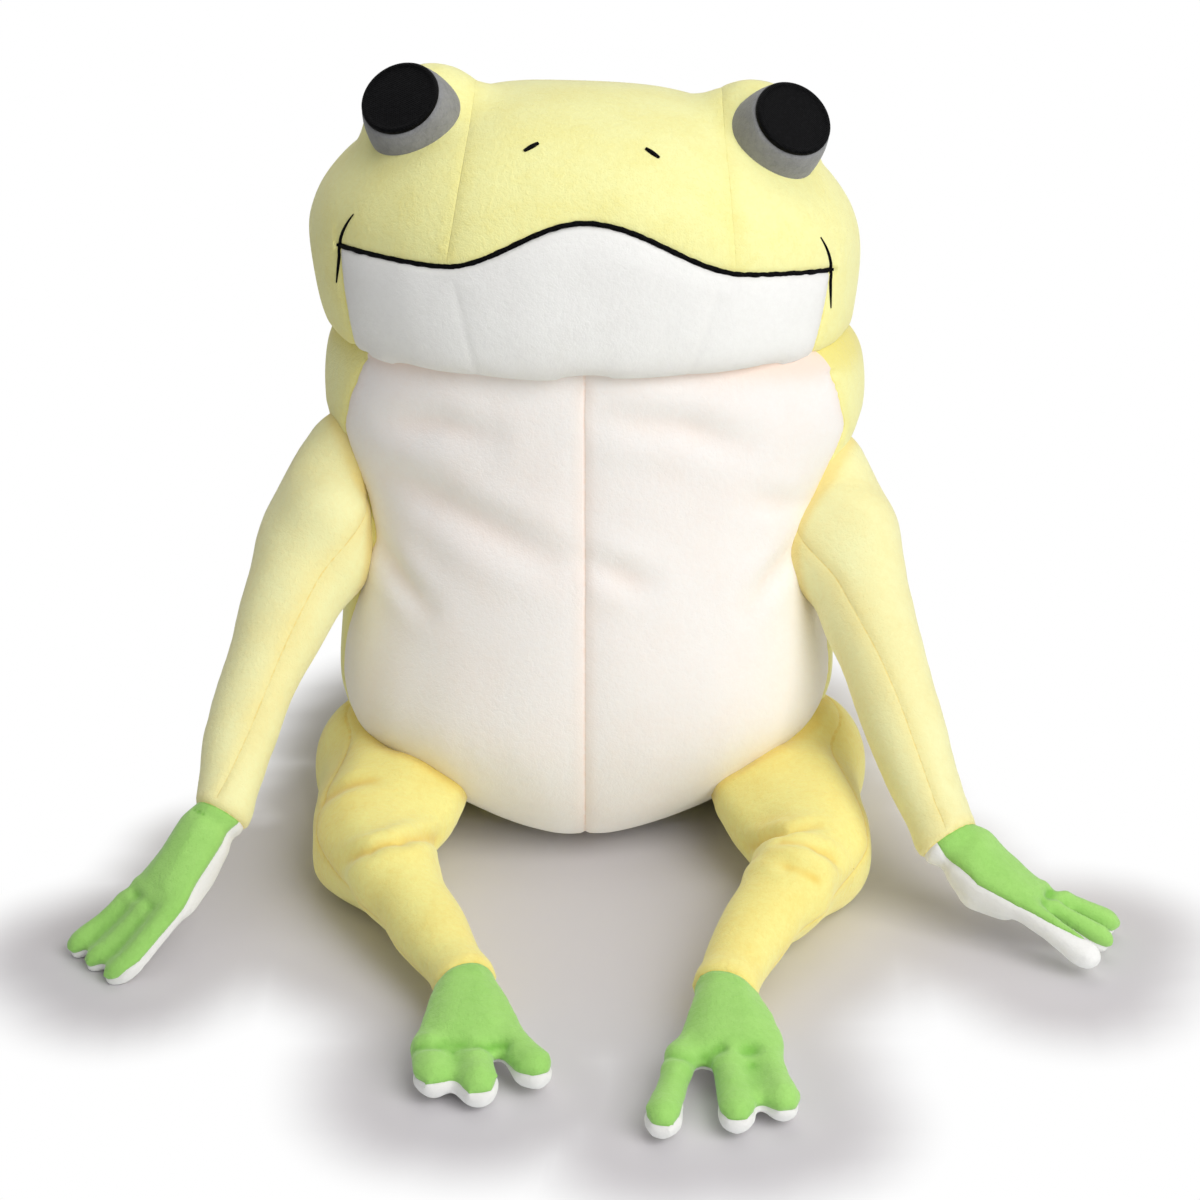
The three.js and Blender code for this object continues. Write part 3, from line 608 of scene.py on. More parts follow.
def crease_shade(lines, strength, also):
    """How much painted shade darkens the cloth in the valley of each fold, and where also says."""
    def tint(co):
        tints = [np.exp(-((beside(co, line)[0] / (0.62 * wide * MM)) ** 2)) for line, _, wide in lines]
        return np.maximum(strength * np.max(tints, axis=0), also(co))
    return tint


def shade_beside_torso(co):
    """How much painted shade darkens the cloth beside the torso, where the limbs press against it."""
    mesh = frame["nodes"]["torso_filling"].data
    tree = BVHTree.FromPolygons([v.co for v in mesh.vertices], [p.vertices for p in mesh.polygons])
    away = np.array([tree.find_nearest(Vector(place))[3] for place in co])
    strength, stays, fades = TORSO_SHADE
    return strength * np.exp(-((np.maximum(away - stays * MM, 0) / (fades * MM)) ** 2))


def rumple(obj, size, height, seed):
    """Uneven stuffing: broad shallow swells, the same each run."""
    co, normals = points_of(obj), normals_of(obj)
    wave = np.zeros(len(co))
    rng = np.random.default_rng(seed)
    for _ in range(14):
        way = unit(rng.normal(size=3)) * (2 * math.pi / (size * rng.uniform(0.7, 1.6)))
        wave += np.sin(co @ way + rng.uniform(0, 2 * math.pi))
    move_points(obj, co + normals * (wave * height / 3.7)[:, None])


def unsewn(obj):
    """The places of the points before the seams pulled them in."""
    return read(obj.data.attributes["unsewn"].data, "vector")


def mark(obj, seams, painted_shade):
    """Stores, for the materials, how far each point is from a seam and how much painted shade it gets: deep
    in a fold or where painted_shade says."""
    co, normals, edges = points_of(obj), normals_of(obj), edges_of(obj)
    store(obj, "seam", seam_distance(unsewn(obj), seams) / MM)
    count = np.maximum(np.bincount(edges.ravel(), minlength=len(co)), 1)
    mean = np.zeros_like(co)
    for axis in range(3):
        mean[:, axis] = np.bincount(edges[:, 0], co[edges[:, 1], axis], len(co))
        mean[:, axis] += np.bincount(edges[:, 1], co[edges[:, 0], axis], len(co))
    mean /= count[:, None]
    length = np.linalg.norm(co[edges[:, 0]] - co[edges[:, 1]], axis=1)
    near = (np.bincount(edges[:, 0], length, len(co)) + np.bincount(edges[:, 1], length, len(co))) / count
    bend = np.sum((mean - co) * normals, axis=1) / np.maximum(near, 0.4 * MM) ** 2
    bend = spread(np.clip(bend, -400, 400), edges, 6)
    # fold: the painted shade of creases, as the materials read it
    store(obj, "fold", np.maximum(np.clip(bend / FULL_FOLD, 0, 1), painted_shade(co)))


# Panels

def panel(form, name, keep, thickness):
    """The part of a sewn form whose faces keep says, as a sheet of cloth of its own."""
    obj = form.copy()
    obj.data = form.data.copy()
    obj.name = obj.data.name = name
    bpy.context.scene.collection.objects.link(obj)
    mesh = obj.data
    corners = read(mesh.loops, "vertex_index", 1, int)
    starts = read(mesh.polygons, "loop_start", 1, int)
    sums = np.add.reduceat(unsewn(obj)[corners], starts, axis=0)
    sides = np.diff(np.append(starts, len(corners)))
    drop = ~keep(sums / sides[:, None])
    mesh.attributes.remove(mesh.attributes["unsewn"])
    pick(obj)
    bpy.ops.object.mode_set(mode="EDIT")
    bpy.ops.mesh.select_mode(type="FACE")
    bpy.ops.mesh.select_all(action="DESELECT")
    bpy.ops.object.mode_set(mode="OBJECT")
    mesh.polygons.foreach_set("select", drop)
    bpy.ops.object.mode_set(mode="EDIT")
    bpy.ops.mesh.delete(type="FACE")
    bpy.ops.object.mode_set(mode="OBJECT")
    modifier = obj.modifiers.new("Cloth", "SOLIDIFY")
    modifier.thickness = thickness
    modifier.offset = -1
    apply_modifier(obj, modifier)
    bpy.ops.object.shade_smooth_by_angle(angle=math.radians(50))
    return obj


def discard(obj):
    bpy.data.objects.remove(obj)


def dress(obj, colour, *nodes, fill=None):
    obj.data.materials.clear()
    obj.data.materials.append(cloth_or_thread(colour))
    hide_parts(*nodes)
    return obj


# Materials

def srgb(colour):
    return (*colour, 1.0)


class Wiring:
    """Adds nodes to a shader tree, each with links or constants at its sockets."""

    def __init__(self, tree):
        self.nodes, self.links = tree.nodes, tree.links

    def fill(self, socket, value):
        if isinstance(value, bpy.types.NodeSocket):
            self.links.new(value, socket)
        else:
            socket.default_value = value

    def add(self, kind, values, **settings):
        node = self.nodes.new("ShaderNode" + kind)
        for name, value in settings.items():
            setattr(node, name, value)
        for label, value in values.items():
            self.fill(node.inputs[label], value)
        return node

    def place(self):
        return self.add("TexCoord", {}).outputs["Object"]

    def attribute(self, name):
        return self.add("Attribute", {}, attribute_name=name).outputs["Fac"]

    def ramp(self, source, low, high, to_low=0.0, to_high=1.0):
        values = {"Value": source, "From Min": low, "From Max": high, "To Min": to_low, "To Max": to_high}
        return self.add("MapRange", values, interpolation_type="SMOOTHSTEP").outputs["Result"]

    def maths(self, operation, first, second):
        node = self.add("Math", {}, operation=operation)
        self.fill(node.inputs[0], first)
        self.fill(node.inputs[1], second)
        return node.outputs[0]

    def noise(self, place, scale, detail, rough):
        values = {"Vector": place, "Scale": scale, "Detail": detail, "Roughness": rough}
        return self.add("TexNoise", values).outputs["Fac"]

    def mixed(self, amount, first, second):
        values = {"Factor": amount, "A": first, "B": second}
        return self.add("Mix", values, data_type="RGBA").outputs["Result"]

    def mix_shaders(self, amount, first, second):
        node = self.add("MixShader", {"Fac": amount})
        self.fill(node.inputs[1], first)
        self.fill(node.inputs[2], second)
        return node.outputs["Shader"]

    def bump(self, height, strength, distance):
        values = {"Height": height, "Strength": strength, "Distance": distance * MM}
        return self.add("Bump", values).outputs["Normal"]


def new_material(name, colour, values):
    """A material, its wiring and its shader, with the sockets that values names set."""
    material = bpy.data.materials.new(name)
    material.use_nodes = True
    material.diffuse_color = srgb(colour)
    wiring = Wiring(material.node_tree)
    shader = wiring.nodes["Principled BSDF"]
    for label, value in values.items():
        shader.inputs[label].default_value = value
    return material, wiring, shader


def nap_group():
    """Short pile: mottled where the pile lies differently, with painted shade in folds and creases and in
    the soft dip beside each seam, and a thin dark line along each seam.
    """
    found = bpy.data.node_groups.get("Short pile")
    if found:
        return found
    group = bpy.data.node_groups.new("Short pile", "ShaderNodeTree")
    # Fold is how much painted shade a point gets, and Fold colour is the darker plush that this painted
    # shade and the mottling draw towards
    for label, kind, value in (
        ("Colour", "NodeSocketColor", None),
        ("Fold colour", "NodeSocketColor", None),
        ("Mottling", "NodeSocketFloat", 0.1),
        ("Fold", "NodeSocketFloat", 0.0),
        ("Seam", "NodeSocketFloat", 50.0),
    ):
        socket = group.interface.new_socket(label, in_out="INPUT", socket_type=kind)
        if value is not None:
            socket.default_value = value
    for label, kind in (
        ("Colour", "NodeSocketColor"), ("Roughness", "NodeSocketFloat"), ("Height", "NodeSocketFloat")
    ):
        group.interface.new_socket(label, in_out="OUTPUT", socket_type=kind)
    wiring = Wiring(group)
    ramp, maths = wiring.ramp, wiring.maths
    entry, out = (wiring.nodes.new("NodeGroup" + end) for end in ("Input", "Output"))
    base, mottle_and_shade_colour, mottling, fold_shade, seam = (
        entry.outputs[label] for label in ("Colour", "Fold colour", "Mottling", "Fold", "Seam")
    )
    place = wiring.place()
    fine = wiring.noise(place, 1500, 2.0, 0.6)
    tuft = wiring.noise(place, 420, 3.0, 0.6)
    patch = wiring.noise(place, 55, 4.0, 0.55)
    broad = wiring.noise(place, 14, 2.0, 0.5)
    mottled = 0.0
    for layer, low, high, amount in (
        (fine, 0.35, 0.75, 0.45), (tuft, 0.35, 0.7, 0.5), (patch, 0.4, 0.68, 0.6), (broad, 0.35, 0.7, 0.5)
    ):
        mottled = maths("ADD", mottled, maths("MULTIPLY", ramp(layer, low, high), amount))
    colour = wiring.mixed(maths("MULTIPLY", mottled, mottling), base, mottle_and_shade_colour)
    # Painted shade: a soft band in each seam's dip and the Fold amount, with a thin dark line at each seam,
    # all drawn towards the darker colour
    wide = ramp(seam, 0.0, 7.0, 0.22, 0.0)
    uneven = ramp(tuft, 0.3, 0.65, 0.55, 1.0)
    line = maths("MULTIPLY", ramp(seam, 0.25, 0.9, 0.62, 0.0), uneven)
    deep = maths("MULTIPLY", fold_shade, 0.75)
    tint = maths("MAXIMUM", maths("MAXIMUM", wide, line), deep)
    height = maths("ADD", maths("MULTIPLY", fine, 0.5), maths("MULTIPLY", tuft, 0.9))
    height = maths("SUBTRACT", height, maths("MULTIPLY", line, 0.6))
    wiring.fill(out.inputs["Colour"], wiring.mixed(tint, colour, mottle_and_shade_colour))
    wiring.fill(out.inputs["Roughness"], ramp(tuft, 0.3, 0.7, 0.82, 0.98))
    wiring.fill(out.inputs["Height"], height)
    return group


def plush(name, colour, mottle_and_shade_colour, mottling=0.26, sheen=0.35, bump=0.85):
    """Short soft plush cloth."""
    material, wiring, shader = new_material(name, colour, {
        "Sheen Weight": sheen, "Sheen Roughness": 0.45, "Sheen Tint": (1.0, 1.0, 0.96, 1.0),
        "Specular IOR Level": 0.15,
    })
    pile = wiring.add("Group", {}, node_tree=nap_group())
    for label, value in (
        ("Colour", srgb(colour)), ("Fold colour", srgb(mottle_and_shade_colour)), ("Mottling", mottling),
        ("Fold", wiring.attribute("fold")), ("Seam", wiring.attribute("seam")),
    ):
        wiring.fill(pile.inputs[label], value)
    wiring.fill(shader.inputs["Base Color"], pile.outputs["Colour"])
    wiring.fill(shader.inputs["Roughness"], pile.outputs["Roughness"])
    wiring.fill(shader.inputs["Normal"], wiring.bump(pile.outputs["Height"], bump, 0.5))
    return material


def thread(name, colour, across, rough):
    """Satin stitches or twisted thread: fine parallel strands."""
    material, wiring, shader = new_material(name, colour, {"Specular IOR Level": 0.035})
    place = wiring.place()
    strands = wiring.add(
        "TexWave", {"Vector": place, "Scale": across, "Distortion": 1.5, "Detail": 2.0},
        bands_direction="DIAGONAL",
    )
    flecks = wiring.noise(place, 900, 3.0, 0.6)
    # Lighter flecks at random over the thread
    lighter = tuple(c * 2 + 0.004 for c in colour)
    flecked = wiring.mixed(wiring.ramp(flecks, 0.4, 0.75), srgb(colour), srgb(lighter))
    wiring.fill(shader.inputs["Base Color"], flecked)
    wiring.fill(shader.inputs["Roughness"], wiring.ramp(flecks, 0.3, 0.7, rough - 0.08, rough + 0.1))
    wiring.fill(shader.inputs["Normal"], wiring.bump(strands.outputs["Fac"], 0.5, 0.25))
    return material


def cloth_or_thread(colour):
    """The material of a colour, made when it is first asked for."""
    colours = bpy.context.scene.frog_colours
    name, make, values = {
        "yellow": ("Yellow plush", plush, (colours.yellow, colours.yellow_shade_and_mottle)),
        "arm": ("Arm plush", plush, (colours.arm, colours.limb_shade_and_mottle, 0.14)),
        "limb": ("Leg plush", plush, (colours.limb, colours.limb_shade_and_mottle)),
        "cream": ("Belly plush", plush, (colours.cream, colours.cream_shade_and_mottle, 0.1, 0.35, 0.5)),
        "white": ("White plush", plush, (colours.white, colours.white_shade_and_mottle, 0.16, 0.35, 0.5)),
        "green": ("Green plush", plush, (colours.green, colours.green_shade_and_mottle, 0.2)),
        "grey": ("Grey felt", plush, (colours.grey, tuple(0.5 * c for c in colours.grey), 0.4, 0.2, 1.0)),
        "pupil": ("Pupil embroidery", thread, (colours.black, 500.0, 0.42)),
        "thread": ("Black thread", thread, (colours.black, 300.0, 0.6)),
    }[colour]
    return bpy.data.materials.get(name) or make(name, *values)


# The frog's forms

def near_neck(co):
    """Distance outside the dome that the head rests on."""
    local = (co - np.array(NECK_CENTRE)) / np.array((NECK_LENGTHWISE, 1, 1))
    return np.linalg.norm(local, axis=1) - NECK_RADIUS


def belly_edge(height):
    z, y = np.array(BELLY_EDGE, float).T * MM
    return np.interp(height, z, y)


def held_by(co, seams, reach, *more):
    """How firmly each point is held in the swell: at the seams, within reach, and where more says."""
    held = np.exp(-((seam_distance(co, seams) / (reach * MM)) ** 2))
    return np.clip(np.max([held, *more], axis=0), 0, 1)


def stuffed(form, name, keep, thickness, colour, nodes, fill):
    """A panel of a sewn form, dressed as padded cloth."""
    return dress(panel(form, name, keep, thickness), colour, *nodes, fill=fill)


class FROG_OT_torso(bpy.types.Operator):
    """Sews the belly and back of the torso and stuffs them"""

    bl_idname = "frog.torso"
    bl_label = "Torso"

    def execute(self, context):
        sizes = context.scene.frog_sizes
        side = Seam(
            lambda co: co[:, 1] - belly_edge(co[:, 2]), (0, 1, 0), soft=0.6,
            where=lambda co: (near_neck(co) < -2 * MM) & (co[:, 2] > 1.5 * MM),
        )
        centre = plane_seam(
            (0, 0, 0), (1, 0, 0), where=lambda co: co[:, 1] < belly_edge(co[:, 2]) + 1 * MM, soft=0.8
        )
        seams = [side, centre]
        form = joined("torso_form", [copy_of("torso_filling", COVER * MM)])
        remesh(form, sizes.body_voxel)
        smooth(form, 16)
        co = points_of(form)
        shoulder = between(np.abs(co[:, 2] - SHOULDER_HEIGHT * MM), 34, 0) * between(-co[:, 0], 0, 80)
        co[:, 0] -= SHOULDER_SHIFT * MM * shoulder
        move_points(form, co)
        top = (near_neck(co) > -1.5 * MM).astype(float)
        floor = (co[:, 2] < 2 * MM).astype(float)
        swell(form, sizes.stuffing, BODY_SWELL * MM, held_by(co, seams, 4.0, top, 0.8 * floor))
        smooth(form, 3)
        subdivide(form)
        rumple(form, 60 * MM, 0.5 * MM, 3)
        fold(form, BELLY_FOLDS, lambda co: (co[:, [0, 2]], (co[:, 1] < -20 * MM).astype(float)))
        for seam in seams:
            cut(form, seam)
        sew(form, seams, sizes)
        stand_on_floor(form)

        # Painted shade on the top of the belly, in the crease under the chin
        def shade_under_chin(co):
            depth = np.minimum(near_neck(co), 0) / (3.5 * MM)
            return (co[:, 2] > 140 * MM) * 0.95 * np.exp(-(depth**2))

        mark(form, seams, shade_under_chin)
        front = lambda c: c[:, 1] < belly_edge(c[:, 2])
        for name, keep, colour, nodes in (
            ("back", lambda c: ~front(c), "yellow", ("back_cover", "torso_filling")),
            ("belly_left", lambda c: front(c) & (c[:, 0] > 0), "cream", ("belly_cover_left",)),
            ("belly_right", lambda c: front(c) & (c[:, 0] < 0), "cream", ("belly_cover_right",)),
        ):
            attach(stuffed(form, name, keep, sizes.cloth, colour, nodes, 0.8), "torso")
        discard(form)
        return {"FINISHED"}


def in_head(co):
    place = np.array(HEAD_PLACE.inverted())
    return co @ place[:3, :3].T + place[:3, 3]


def mouth_height(x):
    away = np.abs(x) / MM
    dip, at = (np.where(x > 0, left, right) for right, left in (MOUTH_DIP, MOUTH_DIP_AT))
    middle = dip + (1 + np.cos(np.clip(away / at, 0, 1) * np.pi)) / 2 * (MOUTH_PEAK - dip)
    share = np.clip((away - at) / (MOUTH_HALF_WIDTH - at), 0, 1)
    outer = dip + share**1.4 * (MOUTH_CORNER - dip)
    return np.where(away > at, outer, middle) * MM


def jaw_side(z):
    """Half width of the jaw panel at a height in the head."""
    below = between(z, MOUTH_CORNER, MOUTH_CORNER - 60)
    return (MOUTH_HALF_WIDTH - 2 - 12 * below**1.5) * MM


def brow_side(z, side):
    """Half width of the forehead panel at a height in the head: its seams lean in."""
    return SIDE_SEAM[side] * MM - BROW_LEAN * np.clip(z, -10 * MM, 60 * MM)


class FROG_OT_head(bpy.types.Operator):
    """Sews the head's panels and stuffs them"""

    bl_idname = "frog.head"
    bl_label = "Head"

    def execute(self, context):
        sizes = context.scene.frog_sizes
        across, forward, upward = np.array(HEAD_PLACE)[:3, :3].T
        before = lambda co: in_head(co)[:, 1] < NAPE_SEAM * MM
        face = lambda co: in_head(co)[:, 1] < FACE_EDGE * MM
        in_mouth = lambda co: face(co) & (np.abs(in_head(co)[:, 0]) < MOUTH_HALF_WIDTH * MM)
        above = lambda co: mouth_level(co) > -0.5 * MM
        under_mouth = lambda co: face(co) & ~above(co)

        def mouth_level(co):
            local = in_head(co)
            return local[:, 2] - mouth_height(local[:, 0])

        def upright_seam(side, half_width, **rest):
            """A seam at each side of the face, as far out as half_width says for its height."""
            def level(co):
                local = in_head(co)
                return local[:, 0] - side * half_width(local[:, 2])
            return Seam(level, across, **rest)

        nape = Seam(lambda co: in_head(co)[:, 1] - NAPE_SEAM * MM, forward, soft=0.5)
        mouth = Seam(mouth_level, upward, where=in_mouth, depth=1.8, soft=1.3)
        brows = [
            upright_seam(
                side, lambda z, side=side: brow_side(z, side), where=lambda co: before(co) & above(co),
                soft=0.4, depth=0.45, faint=0.45,
            )
            for side in SIDES.values()
        ]
        jaw_edges = [upright_seam(side, jaw_side, where=under_mouth, soft=0.5) for side in SIDES.values()]
        darts = [
            upright_seam(
                side, lambda z: DART * MM + DART_SPREAD * (z + 4 * MM), where=under_mouth,
                soft=0.5, depth=0.3,
            )
            for side in SIDES.values()
        ]
        seams = [nape, mouth, *brows, *jaw_edges]
        form = joined("head_form", [copy_of("head_filling", COVER * MM)])
        remesh(form, sizes.head_voxel)
        smooth(form, 20)
        co = points_of(form)
        local = in_head(co)
        lower = between(local[:, 2], 5, -30) * between(-local[:, 0], 0, 100) ** 2
        co += np.outer(lower * JAW_SHIFT * MM, across)
        move_points(form, co)
        bowl = (near_neck(co) < 3 * MM).astype(float)
        swell(form, sizes.stuffing, BODY_SWELL * MM, held_by(co, [mouth, nape], 3.0, bowl))
        smooth(form, 3)
        subdivide(form)
        rumple(form, 70 * MM, 0.35 * MM, 11)
        for seam in seams:
            cut(form, seam)
        sew(form, [*seams, *darts], sizes)
        # Painted shade round the underside of the head, where it rests on the neck
        mark(
            form, [nape, *brows, *jaw_edges],
            lambda co: 0.5 * np.exp(-(((near_neck(co) - 3 * MM) / (5 * MM)) ** 2)),
        )

        def jaw(c):
            x, _, z = in_head(c).T
            return (mouth_level(c) < 0) & face(c) & (np.abs(x) < jaw_side(z))

        def brow(c):
            x, _, z = in_head(c).T
            half_width = np.where(x > 0, brow_side(z, 1), brow_side(z, -1))
            return before(c) & ~jaw(c) & (np.abs(x) < half_width) & (mouth_level(c) > 0)

        cheeks = lambda c: before(c) & ~jaw(c) & ~brow(c)
        for name, keep, colour, nodes in (
            ("nape", lambda c: ~before(c), "yellow", ("nape_cover", "head_filling")),
            ("jaw", jaw, "white", ("jaw_cover",)),
            ("forehead", brow, "yellow", ("forehead_cover",)),
            (
                "cheek_left", lambda c: cheeks(c) & (in_head(c)[:, 0] > 0), "yellow",
                ("cheek_cover_left",),
            ),
            (
                "cheek_right", lambda c: cheeks(c) & (in_head(c)[:, 0] < 0), "yellow",
                ("cheek_cover_right",),
            ),
        ):
            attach(stuffed(form, name, keep, sizes.cloth, colour, nodes, 0.9), "head")
        discard(form)
        return {"FINISHED"}


# Limbs

def paw_plane(top, sole):
    """Middle and normal of the plane between the two halves of a hand or foot."""
    upper, lower = (points_of(frame["nodes"][node]) for node in (top, sole))
    flat = np.array([p for p in upper if np.min(np.linalg.norm(lower - p, axis=1)) < 0.6 * MM])
    middle = flat.mean(0)
    normal = np.linalg.svd(flat - middle)[2][2]
    return middle, normal * (1 if (upper.mean(0) - lower.mean(0)) @ normal > 0 else -1)


def sew_limb(name, parts, seams, held, sizes, shape, from_paw, wave, folds, tint, cuts=()):
    """A limb as one cover, from its grown fillings. shape moves its points before the swell, which the
    held seams hold, from_paw says how far each point is from the paw, and cuts are cut and not sewn."""
    form = joined(name, parts)
    remesh(form, sizes.limb_voxel)
    smooth(form, 4)
    smooth(form, 36, lambda co: between(from_paw(co), 0, 14))
    co = shape(points_of(form))
    move_points(form, co)
    swell(form, sizes.stuffing, LIMB_SWELL * MM, held_by(co, held, 2.0))
    smooth(form, 2)
    subdivide(form)
    rumple(form, *wave)
    fold(form, folds)
    for seam in (*seams, *cuts):
        cut(form, seam)
    sew(form, seams, sizes)
    stand_on_floor(form)
    # Painted shade in the valleys of the folds and beside the torso
    mark(form, seams, crease_shade(folds, tint, shade_beside_torso))
    return form


def sew_paw(form, name, halves, beyond, above, start):
    """The upper and the lower half of a hand or foot."""
    for (label, colour, node), upper in zip(halves, (True, False)):
        half = stuffed(
            form, label + name, lambda c: beyond(c) & (above(c) == upper), PAW_CLOTH * MM, colour,
            (node + name,), 0.5,
        )
        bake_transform(half)


class FROG_OT_arms(bpy.types.Operator):
    """Sews both arms with their hands"""

    bl_idname = "frog.arms"
    bl_label = "Arms"

    def execute(self, context):
        for number, (name, side) in enumerate(SIDES.items()):
            self.arm(context.scene.frog_sizes, name, side, number)
        return {"FINISHED"}

    def arm(self, sizes, name, side, number):
        shoulder, wrist = (np.array(JOINTS[joint + name]) for joint in ("shoulder_", "wrist_"))
        middle, up = paw_plane("hand_top_" + name, "hand_palm_" + name)
        way, length = unit(wrist - shoulder), np.linalg.norm(wrist - shoulder)
        hand_way = unit(middle - wrist)
        hand_way = unit(hand_way - up * (hand_way @ up))
        cuff = wrist + hand_way * CUFF * MM
        across = unit(way + hand_way)
        inwards = unit(np.cross(up, hand_way))
        inwards = inwards * -np.sign(inwards[1])

        def hang(co):
            """How far the cloth of the hand hangs from its packed place."""
            forward, sideways = (co - wrist) @ hand_way, (co - cuff) @ inwards
            at, along, lift, inner_side, outer_side = np.array(HAND_HANG[name], float).T * MM
            pull = np.interp(forward, at, inner_side) * between(sideways, -HAND_HALF_WIDTH, HAND_HALF_WIDTH)
            pull += np.interp(forward, at, outer_side) * between(sideways, HAND_HALF_WIDTH, -HAND_HALF_WIDTH)
            move = np.outer(np.interp(forward, at, along), hand_way)
            return move + np.outer(np.interp(forward, at, lift), up) + np.outer(pull, inwards)

        def unhung(co):
            """Where the points of the hand were before it hung."""
            return co - hang(co - hang(co))

        past_cuff = lambda co: (unhung(co) - cuff) @ across
        beyond = lambda co: past_cuff(co) > 0
        ring = Seam(
            past_cuff, across, where=lambda co: np.linalg.norm(unhung(co) - cuff, axis=1) < 26 * MM, soft=0.4
        )

        def palm_level(co):
            """Height above the edge of the palm, which comes up round the inner side of the hand."""
            co = unhung(co)
            start_at = np.interp((co - wrist) @ hand_way, *np.array(PALM_EDGE[name], float).T * MM)
            inside = np.clip((co - cuff) @ inwards - start_at, 0, PALM_RISE_WIDTH * MM)
            return (co - middle) @ up - PALM_RISE * inside

        edge = Seam(
            palm_level, unit(up - 0.7 * inwards), where=lambda co: past_cuff(co) > -0.5 * MM,
            soft=0.2, depth=0.8,
        )
        inner = unit(np.cross(way, (-side * 0.9, -0.27, 0.04)))
        upper = unit(np.cross(way, (side * 0.2, -0.55, 0.8)))

        def sleeve_level(co):
            """Height above the sleeve seam, which turns from the arm's inner side to its top."""
            turn = np.clip((co - shoulder) @ way / length, 0, 1)[:, None]
            return np.sum((co - shoulder) * (inner * (1 - turn) + upper * turn), axis=1)

        def on_sleeve(co):
            along, facing = (co - shoulder) @ way, (co - shoulder) @ np.cross(inner + upper, way)
            return (past_cuff(co) < SLEEVE_END * MM) & (along > SLEEVE_START * MM) & (facing > 0)

        sleeve = Seam(sleeve_level, inner + upper, where=on_sleeve, soft=0.15, depth=0.5, faint=0.3)

        def shape(co):
            """Swings the arm outwards, slims the sleeve, stretches the fingers and hangs the hand."""
            along = (co - shoulder) @ way / length
            thin = 1 - np.interp(along, *np.array(ARM_FULLNESS[name]).T)
            round_axis = co - shoulder - np.outer(along * length, way)
            out = np.interp(along, *np.array(ARM_LEAN[name]).T) * MM
            reach = np.clip((co - cuff) @ hand_way - STRETCH_START * MM, 0, None) * (HAND_STRETCH[name] - 1)
            co = co - round_axis * thin[:, None] + np.outer(out, (side, 0, 0)) + np.outer(reach, hand_way)
            return co + hang(co)

        parts = [
            copy_of("arm_filling_" + name, LIMB_COVER * MM),
            copy_of("hand_top_" + name, PAW_COVER * MM),
            copy_of("hand_palm_" + name, PAW_COVER * MM),
            ball(wrist, WRIST_RADIUS),
            ball(shoulder + np.array(ARM_ROOT) * (side, 1, 1) * MM, ARM_ROOT_RADIUS),
            ball(shoulder + np.array(ARM_SWELL[name]) * MM, ARM_SWELL_RADIUS),
            ball(shoulder + np.array(ARMPIT[name]) * MM, ARMPIT_RADIUS),
        ]
        form = sew_limb(
            "arm_form_" + name, parts, [ring, edge, sleeve], [ring, edge], sizes, shape,
            lambda co: (cuff - co) @ across, (34 * MM, 0.35 * MM, 20 + number), HAND_FOLDS[name], 0.5,
        )
        arm = stuffed(
            form, "arm_" + name, lambda c: ~beyond(c), sizes.cloth, "arm",
            ("arm_cover_" + name, "arm_filling_" + name), 0.7,
        )
        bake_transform(arm)
        sew_paw(
            form, name, (("hand_", "green", "hand_top_"), ("palm_", "white", "hand_palm_")), beyond,
            lambda c: palm_level(c) > 0, cuff + hang(cuff[None])[0],
        )
        discard(form)


